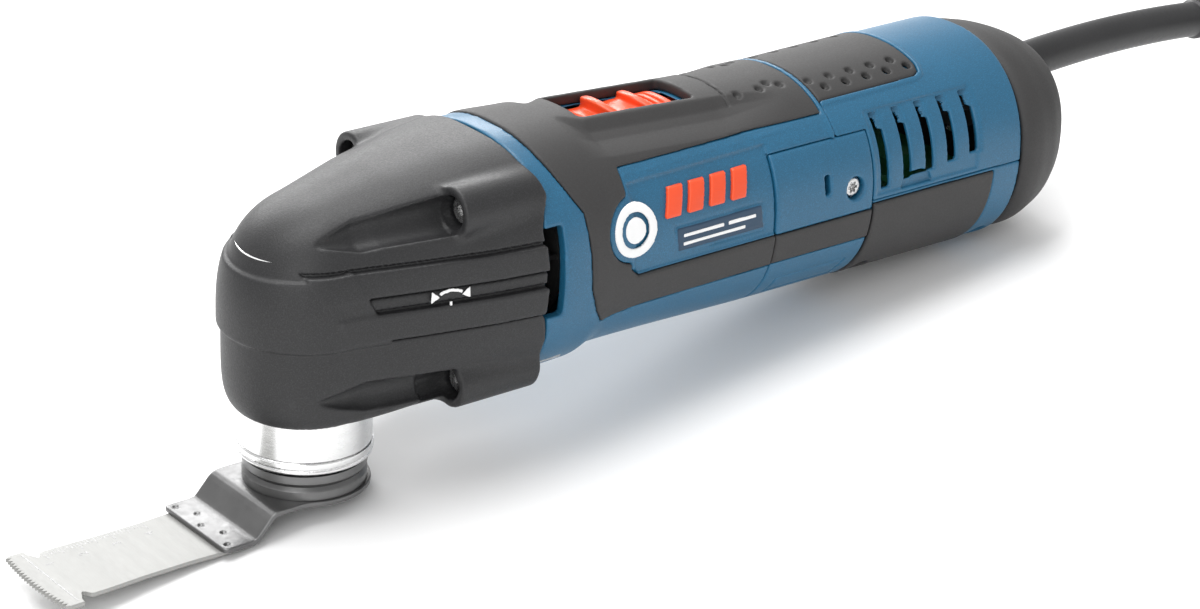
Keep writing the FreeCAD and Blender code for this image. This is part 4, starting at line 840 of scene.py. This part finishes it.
CORD_DIAMETER = 0.007
LEAD_ROUTE = [
    (0.2189, 0.0, 0.0330), (0.245, -0.001, 0.0276), (0.272, 0.004, 0.0185), (0.300, 0.024, 0.0085),
    (0.330, 0.032, 0.0051),
]
TAIL_ROUTE = [
    (0.330, 0.018, 0.0178), (0.3599, 0.018, 0.0245), (0.381, -0.0031, 0.0280),
    (0.381, -0.0329, 0.0315), (0.3599, -0.054, 0.0343), (0.330, -0.054, 0.0346),
]
COIL_CENTRE = (0.330, -0.019)
COIL_TURNS = [
    (0.0510, 0.0051), (0.0440, 0.0051), (0.0370, 0.0051), (0.0300, 0.0051), (0.0335, 0.0112),
    (0.0405, 0.0112), (0.0475, 0.0112), (0.0440, 0.0173),
]
COIL_END = (0.0370, 0.0176)
TURN_POINTS = 16


def coil_points():
    """Eight turns, clockwise from above, each easing into the next."""
    points = []
    turns = COIL_TURNS + [COIL_END]
    for step in range(1, TURN_POINTS * len(COIL_TURNS)):
        whole, share = divmod(step / TURN_POINTS, 1)
        ease = min(1.0, max(0.0, (share - 0.7) / 0.3))
        ease = ease * ease * (3 - 2 * ease)
        here, ahead = turns[int(whole)], turns[int(whole) + 1]
        radius = here[0] + ease * (ahead[0] - here[0])
        height = here[1] + ease * (ahead[1] - here[1])
        angle = math.pi / 2 - 2 * math.pi * step / TURN_POINTS
        points.append((COIL_CENTRE[0] + radius * math.cos(angle),
                       COIL_CENTRE[1] + radius * math.sin(angle), height))
    return points


def nurbs(name, points, radius, paint, sides=6):
    """A round cord along one smooth spline."""
    curve = bpy.data.curves.new(name, "CURVE")
    curve.dimensions = "3D"
    curve.bevel_depth = radius
    curve.bevel_resolution = sides
    curve.resolution_u = 6
    curve.use_fill_caps = True
    spline = curve.splines.new("NURBS")
    spline.points.add(len(points) - 1)
    for point, place in zip(spline.points, points):
        point.co = (*place, 1)
    spline.order_u = 3
    spline.use_endpoint_u = True
    curve.materials.append(paint)
    return in_scene(name, curve)


def make_cord():
    points = LEAD_ROUTE + coil_points() + TAIL_ROUTE
    cord = nurbs("power_cord", points, CORD_DIAMETER / 2, RUBBER)
    settle(cord, ROOT, ["cord_lead", "cord_coil", "cord_tail"])


def tube(name, centres, radii, paint, sides=40):
    """A smooth round tube through centres in the tool's upright middle plane, capped at its ends."""
    centres = np.asarray(centres, float)
    ways = np.gradient(centres, axis=0)
    ways /= np.linalg.norm(ways, axis=1)[:, None]
    lift = np.cross(np.broadcast_to((0.0, 1.0, 0.0), ways.shape), ways)
    angles = 2 * math.pi * np.arange(sides) / sides
    rings = [centre + radius * (math.cos(a) * np.array((0, 1, 0)) + math.sin(a) * up)
             for centre, radius, up in zip(centres, radii, lift) for a in angles]
    quads = []
    for ring in range(len(centres) - 1):
        for side in range(sides):
            after = (side + 1) % sides
            quads.append((ring * sides + side, ring * sides + after,
                          (ring + 1) * sides + after, (ring + 1) * sides + side))
    item = mesh_from(name, placed(rings), np.array(quads), paint)
    build = bmesh.new()
    build.from_mesh(item.data)
    bmesh.ops.holes_fill(build, edges=[edge for edge in build.edges if edge.is_boundary])
    bmesh.ops.recalc_face_normals(build, faces=build.faces)
    build.to_mesh(item.data)
    build.free()
    return item


SLEEVE_ARC, SLEEVE_APEX_X, SLEEVE_APEX_Z = 461.0, 303.6, 68.4
SLEEVE_START, SLEEVE_END = 243.0, 349.0


def make_sleeve():
    """The long bend protector: a plain taper with a rounded lip where the cord leaves it."""
    xs = np.concatenate([np.linspace(SLEEVE_START, 343, 60), np.linspace(343.3, SLEEVE_END, 26)])
    drop = SLEEVE_ARC - np.sqrt(SLEEVE_ARC ** 2 - (xs - SLEEVE_APEX_X) ** 2)
    centres = np.stack([xs, np.zeros_like(xs), SLEEVE_APEX_Z - drop], 1)
    radii = np.interp(xs, (SLEEVE_START, 262, 343), (6.15, 6.0, 5.65))
    lip = np.clip((xs - 343.6) / 1.6, 0, 1)
    radii = radii + 0.85 * lip * lip * (3 - 2 * lip)
    radii = radii - np.where(xs > SLEEVE_END - 1.2, ((xs - SLEEVE_END + 1.2) / 1.2) ** 2 * 1.0, 0)
    sleeve = tube("bend_sleeve", centres, radii, RUBBER)
    return settle(sleeve, ROOT, ["cord_sleeve"])


def make_tie():
    """A hook-and-loop strap round the turns on one side of the coil, with its loose end on top."""
    inner, outer, low, high = 24.6, 55.6, 0.25, 22.2

    def field(x, y, z):
        across = x - COIL_CENTRE[0] / MM
        middle, half = (inner + outer) / 2, (outer - inner) / 2
        rise, up = (high - low) / 2, (high + low) / 2
        ring = np.abs(block(across, y * 0, z, (middle - half, middle + half), (-1, 1),
                            (up - rise, up + rise), 7.0) + 0.9) - 0.45
        flap = block(across, y * 0, z, (middle - 8, middle + 7), (-1, 1), (high - 0.2, high + 0.75), 0.3)
        return shared(joined(ring, flap), np.abs(y - COIL_CENTRE[1] / MM) - 6.0, 0.5)

    spot = COIL_CENTRE[0] / MM
    box_low = (spot + inner - 2, COIL_CENTRE[1] / MM - 8, -1.5)
    box_high = (spot + outer + 2, COIL_CENTRE[1] / MM + 8, 25.0)
    points, faces = meshed(field, box_low, box_high, 0.3)
    tie = mesh_from("cord_strap", points * MM, faces, FABRIC)
    return settle(tie, ROOT, ["cord_tie"])


PLUG_FRONT, PLUG_Y, PLUG_Z = 308.0, -54.0, 34.6


def make_plug():
    """A two-pin contour plug: a flattened body with grip ribs and a ribbed neck."""

    def field(x, y, z):
        along, across, up = x - PLUG_FRONT, y - PLUG_Y, z - PLUG_Z
        waist = 1.6 * np.cos(np.clip(along + 15, -16, 16) / 16 * math.pi)
        body = block(along, across + np.sign(across) * waist * 0.5, up, (-31, 1), (-17.2, 17.2),
                     (-12.6, 12.6), 9.0)
        body = shared(body, -31 - along, 1.0)
        neck = shared(bar(across, up, np.interp(along, (0, 22), (7.8, 4.6)).astype(np.float32)),
                      np.maximum(-6 - along, along - 22), 0.6)
        ribs = 0.35 * np.cos(along * 2 * math.pi / 3.4) * (along > 4)
        solid = joined(body, neck + ribs.astype(np.float32) - 0.25, 3.0)
        grooves = shared(np.abs((along + 22) % 3.6 - 1.8) - 0.45, np.maximum(-24 - along, along + 6))
        solid = cut(solid, shared(grooves, shared(np.abs(up) - 7, -(solid + 0.6))), 0.3)
        seam = shared(np.abs(up) - 0.15, -(solid + 0.3))
        hole = bar(across, up, CORD_DIAMETER / MM / 2 + 0.1)
        return cut(cut(solid, seam), shared(hole, 18 - along))

    low = (PLUG_FRONT - 33, PLUG_Y - 19.5, PLUG_Z - 13.8)
    high = (PLUG_FRONT + 23.5, PLUG_Y + 19.5, PLUG_Z + 14.2)
    points, faces = meshed(field, low, high, 0.42)
    plug = mesh_from("mains_plug", points * MM, faces, RUBBER)
    return settle(plug, ROOT, ["plug_body"])


# ---- blade, its carrier and the neck's ring ----

PLATE_HALF, LOW_TOP, HUB_RADIUS, HUB_HOLE = 0.72, -6.5, 18.0, 4.6
FOOT_FRONT, FOOT_HALF = -35.2, 15.4
# the plate's middle line in side view: hub, upper bend, slope, lower bend, foot
PLATE_LINE = [
    (25, -0.8), (-17.8, -0.8), (-18.9, -0.95), (-19.9, -1.45), (-20.9, -2.35), (-24.2, -6.0),
    (-25.0, -6.75), (-26.0, -7.12), (-27.2, -7.22), (-40, -7.22),
]
WELDS = [(-32.9, 13.0), (-30.2, 6.4), (-32.9, 0.3), (-30.2, -6.6), (-32.9, -12.8)]


def strip_distance(x, z, corners):
    """The distance to a line of straight runs in the tool's side view."""
    runs = []
    for (ax, az), (bx, bz) in zip(corners, corners[1:]):
        run, rise = bx - ax, bz - az
        share = np.clip(((x - ax) * run + (z - az) * rise) / (run * run + rise * rise), 0, 1)
        runs.append(np.sqrt((x - ax - share * run) ** 2 + (z - az - share * rise) ** 2))
    return any_of(runs)


def carrier_field(x, y, z):
    """The cranked plate, with weld marks on its foot and a star-shaped cup in its hub."""
    plate = strip_distance(x, z, PLATE_LINE) - PLATE_HALF
    hub = bar(x, y, HUB_RADIUS)
    foot = block(x, y, z, (FOOT_FRONT, 0), (-FOOT_HALF, FOOT_HALF), (-20, 20), 1.5)
    plate = shared(plate, joined(hub, foot, 1.0), 0.35)
    for place, across in WELDS:
        plate = cut(plate, ball(x, y, z, (place, across, LOW_TOP + 0.6), 1.1), 0.1)
    star = 14.3 + 0.7 * np.cos(12 * np.arctan2(y, x)) - 0.6 * z
    cone = np.sqrt(x ** 2 + y ** 2) - star
    cup = shared(np.abs(shared(cone, z - 3.8) + 0.65) - 0.65, -1.5 - z)
    solid = joined(cut(plate, cone), cup.astype(np.float32), 0.2)
    return cut(solid, bar(x, y, HUB_HOLE))


BLADE_TOP, BLADE_THICK = -7.97, 1.2
BLADE_SIDE = [
    (-24.5, 13.4), (-34.0, 13.4), (-44.0, 12.9), (-58.0, 12.9), (-69.0, 13.4), (-73.5, 13.4),
    (-74.3, 13.1), (-75.2, 11.5), (-75.7, 11.2), (-76.2, 11.5), (-77.1, 13.3), (-77.7, 14.4), (-77.9, 16.0),
]
TEETH, TOOTH_DEPTH, TOOTH_ARC, BLADE_HALF, BLADE_TIP = 22, 1.3, 95.0, 16.0, -84.5


def blade_corners():
    """The blade's outline, seen from above: a waisted strip with a toothed head."""
    edge = []
    for index in range(2 * TEETH + 1):
        across = BLADE_HALF - index * BLADE_HALF / TEETH
        sag = TOOTH_ARC - math.sqrt(TOOTH_ARC ** 2 - across ** 2)
        edge.append((BLADE_TIP + sag + (TOOTH_DEPTH if index % 2 == 0 else 0.0), across))
    return BLADE_SIDE + edge + [(x, -y) for x, y in reversed(BLADE_SIDE)]


def flat_piece(name, outlines, low, high, paint, chamfer=0.0):
    """Flat plates between two heights, from outlines seen from above."""
    build = bmesh.new()
    for corners in outlines:
        rings = []
        for level in (low, high):
            places = placed([(x, y, level) for x, y in corners])
            rings.append([build.verts.new(place) for place in places])
        build.faces.new(rings[0])
        build.faces.new(reversed(rings[1]))
        for index in range(len(corners)):
            after = (index + 1) % len(corners)
            build.faces.new((rings[0][after], rings[0][index], rings[1][index], rings[1][after]))
    bmesh.ops.recalc_face_normals(build, faces=build.faces)
    if chamfer:
        rim = [edge for edge in build.edges
               if any(len(face.verts) > 8 for face in edge.link_faces)]
        bmesh.ops.bevel(build, geom=rim, offset=chamfer * MM, segments=2, affect="EDGES",
                        profile=0.5, clamp_overlap=True)
    mesh = bpy.data.meshes.new(name)
    build.to_mesh(mesh)
    build.free()
    mesh.materials.append(paint)
    return in_scene(name, mesh)


def rectangle(x_ends, y_ends):
    (a, b), (c, d) = x_ends, y_ends
    return [(a, c), (b, c), (b, d), (a, d)]


def blade_marks():
    """Ruler ticks each millimetre along one edge of the blade, and a line behind its teeth."""
    ticks = []
    for step in range(31):
        x = BLADE_TIP + 10.5 + step
        reach = 3.6 if step % 10 == 0 else (2.6 if step % 5 == 0 else 1.8)
        ticks.append(rectangle((x - 0.14, x + 0.14), (12.3 - reach, 12.3)))
    ticks.append(rectangle((-79.2, -78.8), (-14.6, 14.6)))
    return ticks


def numeral(text, x, y, height, paint):
    """One printed numeral lying on the blade, read from its tip."""
    made = bpy.data.curves.new("numeral_" + text, "FONT")
    made.body = text
    made.size = height
    made.align_x = "CENTER"
    made.extrude = 0.015
    made.resolution_u = 3
    item = in_scene("numeral_" + text, made)
    graph = bpy.context.evaluated_depsgraph_get()
    mesh = bpy.data.meshes.new_from_object(item.evaluated_get(graph))
    bpy.data.objects.remove(item)
    flat = np.array([vertex.co[:] for vertex in mesh.vertices])
    turned = np.stack([x - flat[:, 1], y + flat[:, 0], BLADE_TOP + 0.02 + flat[:, 2]], 1)
    mesh.vertices.foreach_set("co", placed(turned).astype(np.float32).ravel())
    mesh.materials.clear()
    mesh.materials.append(paint)
    return settle(in_scene("blade_numeral_" + text, mesh), "spindle", [])


def make_blade():
    cast("cranked_carrier", carrier_field, (-36.5, -19.5, -9.2), (19.2, 19.5, 5.2), 0.3, PLATE,
         body="spindle", stands_for=["blade_carrier"], thin=0.7)
    blade = flat_piece("plunge_blade", [blade_corners()], BLADE_TOP - BLADE_THICK, BLADE_TOP, BLADE, 0.12)
    settle(blade, "spindle", ["saw_blade"])
    marks = flat_piece("blade_ruler", blade_marks(), BLADE_TOP - 0.1, BLADE_TOP + 0.03, STEEL)
    settle(marks, "spindle", [])
    for index in range(1, 5):
        numeral(str(index), BLADE_TIP + 0.5 + 10 * index, 6.4, 3.6, STEEL)


RING_FOOT, RING_TOP, RING_BORE, RING_LINE = 8.2, 12.0, 10.5, 9.5


def ring_field(x, y, z):
    """The bright ring below the neck, with a fine line turned round it."""
    reach = np.sqrt(x ** 2 + y ** 2)
    radius = np.interp(z, (RING_FOOT, 11.6, RING_TOP), (18.6, 18.6, 17.7)).astype(np.float32)
    ring = shared(reach - radius, np.maximum(RING_FOOT - z, z - RING_TOP), 0.7)
    ring = cut(ring, shared(np.abs(z - RING_LINE) - 0.18, 18.25 - reach), 0.1)
    return cut(ring, reach - RING_BORE, 0.3)


def make_ring():
    cast("collar_ring", ring_field, (-19.6, -19.6, 7.5), (19.6, 19.6, 12.7), 0.33, ALLOY,
         stands_for=["neck_ring"], thin=0.4)


# ---- switch slider and speed dial ----

# the slider: its ends, half width, foot and top, then each rib's place and top
SLIDER_ENDS, SLIDER_HALF, SLIDER_FOOT, SLIDER_TOP = (90.6, 120.8), 7.5, 79.4, 85.3
SLIDER_RIBS = [(97.0, 88.5), (110.0, 87.5)]
SLIDER_GROOVES = (115.0, 117.6)
DIAL_Y, DIAL_FOOT, DIAL_TOP, DIAL_RADIUS, DIAL_TEETH = 24.8, 60.0, 65.0, 9.2, 24


def slider_field(x, y, z):
    """A crowned slider with two tall curved ribs, on the plate that closes its bay."""
    wide = (-SLIDER_HALF, SLIDER_HALF)
    base = block(x, y, z, SLIDER_ENDS, wide, (SLIDER_FOOT, SLIDER_TOP), 1.4)
    base = shared(base, z - 85.2 + 0.022 * y ** 2, 0.6)
    base = cut(base, np.sqrt((x - 103.5) ** 2 + (z - 93.5) ** 2) - 9.4, 0.8)
    for place, top in SLIDER_RIBS:
        crest = top - 0.03 * y ** 2
        rib = shared(np.abs(x - place - 0.03 * y ** 2 + 0.1 * (z - 80)) - 1.35,
                     np.maximum(np.abs(y) - 7.4, np.maximum(z - crest, 80 - z)), 0.8)
        base = joined(base, rib, 0.9)
    for place in SLIDER_GROOVES:
        base = cut(base, shared(np.abs(x - place) - 0.45, 84.2 - z), 0.3)
    plate = block(x, y, z, (80.1, 132.4), wide, (SLIDER_FOOT, 80.8), 0.3)
    return joined(base, plate, 0.3)


def dial_field(x, y, z):
    """The speed wheel: a knurled rim, a dished top and a hole for its shaft."""
    across, along = y - DIAL_Y, x - DIAL_X
    angle = np.arctan2(across, along)
    rim = DIAL_RADIUS + 0.35 * np.cos(DIAL_TEETH * angle)
    wheel = shared(np.sqrt(across ** 2 + along ** 2) - rim, np.maximum(DIAL_FOOT - z, z - DIAL_TOP), 0.6)
    wheel = cut(wheel, shared(bar(across, along, 6.6), 64.2 - z), 0.4)
    return cut(wheel, bar(across, along, 1.6)).astype(np.float32)


def make_controls():
    cast("thumb_slider", slider_field, (79.3, -8.4, 78.6), (133.2, 8.4, 89.4), 0.3, RED,
         body="switch_slider", stands_for=["switch_slider"], thin=0.5)
    cast("speed_wheel", dial_field, (204.8, 14.6, 59.4), (225.2, 35.0, 65.6), 0.3, INNER,
         body="speed_dial", stands_for=["speed_dial"], thin=0.6)


# ---- badges and printed marks ----

BAR_FRONT, BAR_PITCH, BAR_COUNT, BAR_WIDTH, BAR_LEAN = 96.6, 8.0, 4, 5.4, 2.4
BAR_FOOT, BAR_TOP = 63.6, 71.6
# each strip's height, front end and rear end
STRIPS = [(57.4, 103.2, 118.0), (57.4, 119.6, 130.0), (54.9, 103.2, 126.0)]
STRIP_HALF = 0.55


def badge_field(x, y, z):
    """A plain round badge: a ring round a smaller disc, on each side."""
    form = body_form(x, y, z)
    away = np.sqrt((x - BADGE_X) ** 2 + (z - BADGE_Z) ** 2)
    faces = joined(np.abs(away - 6.3) - 1.3, away - 3.6)
    return shared(shared(form - 0.42, -(form + 0.5)), shared(faces, 15 - np.abs(y)), 0.2)


def bars_field(x, y, z):
    """Four leaning bars in a row on each side."""
    form = body_form(x, y, z)
    fronts = [BAR_FRONT + BAR_PITCH * index for index in range(BAR_COUNT)]
    row = any_of([
        outline(x, z, [(front, BAR_FOOT), (front + BAR_WIDTH, BAR_FOOT),
                       (front + BAR_WIDTH + BAR_LEAN, BAR_TOP), (front + BAR_LEAN, BAR_TOP)])
        for front in fronts
    ])
    return shared(shared(form - 0.35, -(form + 1.1)), shared(row, 15 - np.abs(y)), 0.35)


def print_field(x, y, z):
    """Plain printed strips on the sign."""
    form = body_form(x, y, z)
    strips = any_of([
        np.maximum(np.maximum(front - x, x - rear), np.abs(z - level) - STRIP_HALF)
        for level, front, rear in STRIPS
    ])
    return shared(shared(form + 0.4, -(form + 1.3)), shared(strips, 15 - np.abs(y)))


def sign_field(x, y, z):
    """The sign's dark ground, a little below the housing round it."""
    form = body_form(x, y, z)
    ground = outline(x, z, SIGN) + 0.5
    return shared(shared(form + 0.58, -(form + 1.5)), shared(ground, 15 - np.abs(y)), 0.15)


def swing_field(x, y, z):
    """An arc with an arrowhead at each end over a short foot: the blade's swinging motion."""
    form = head_form(x, y, z) - panel_proud(x)
    along, up = x - 26.0, z - 52.0
    away = np.sqrt(along ** 2 + up ** 2)
    arc = shared(np.abs(away - 6.6) - 0.45, np.abs(along) - 0.55 * up)
    tips = any_of([outline(along * side, up, [(3.0, 5.0), (5.6, 3.6), (5.4, 7.0)])
                   for side in (-1, 1)])
    base = joined(np.abs(along) - 0.4 + np.maximum(0, up - 3.4) * 9 + np.maximum(0, -4 - up) * 9,
                  np.maximum(np.abs(along) - 2.6, np.abs(up + 4.6) - 0.5))
    mark = joined(joined(arc, tips), base)
    return shared(shared(form - 0.1, -(form + 0.4)), shared(mark, 12 - np.abs(y)))


def make_badges():
    cast("side_badges", badge_field, (77, -36.5, 54.4), (94.2, 36.5, 71.6), 0.4, WHITE,
         stands_for=["side_emblems"], thin=0.3)
    cast("side_bars", bars_field, (95, -36.5, 62.4), (130, 36.5, 72.8), 0.4, RED, thin=0.4)
    cast("sign_ground", sign_field, (99.5, -36.5, 51), (134.5, 36.5, 61.5), 0.45, NAVY,
         thin=0.3)
    cast("sign_strips", print_field, (102, -36.5, 53), (131.5, 36.5, 59.4), 0.33, WHITE,
         thin=0.4)
    cast("swing_marks", swing_field, (16, -36.5, 45.5), (36, 36.5, 60.5), 0.3, WHITE,
         thin=0.3)


# ---- the work begins here ----

make_camera()
make_stage()
sleeve = make_sleeve()
tie = make_tie()
plug = make_plug()
make_cord()
paint_carried()
make_head()
make_front()
make_belly()
make_rear()
make_cap()
make_blade()
make_ring()
make_controls()
make_badges()
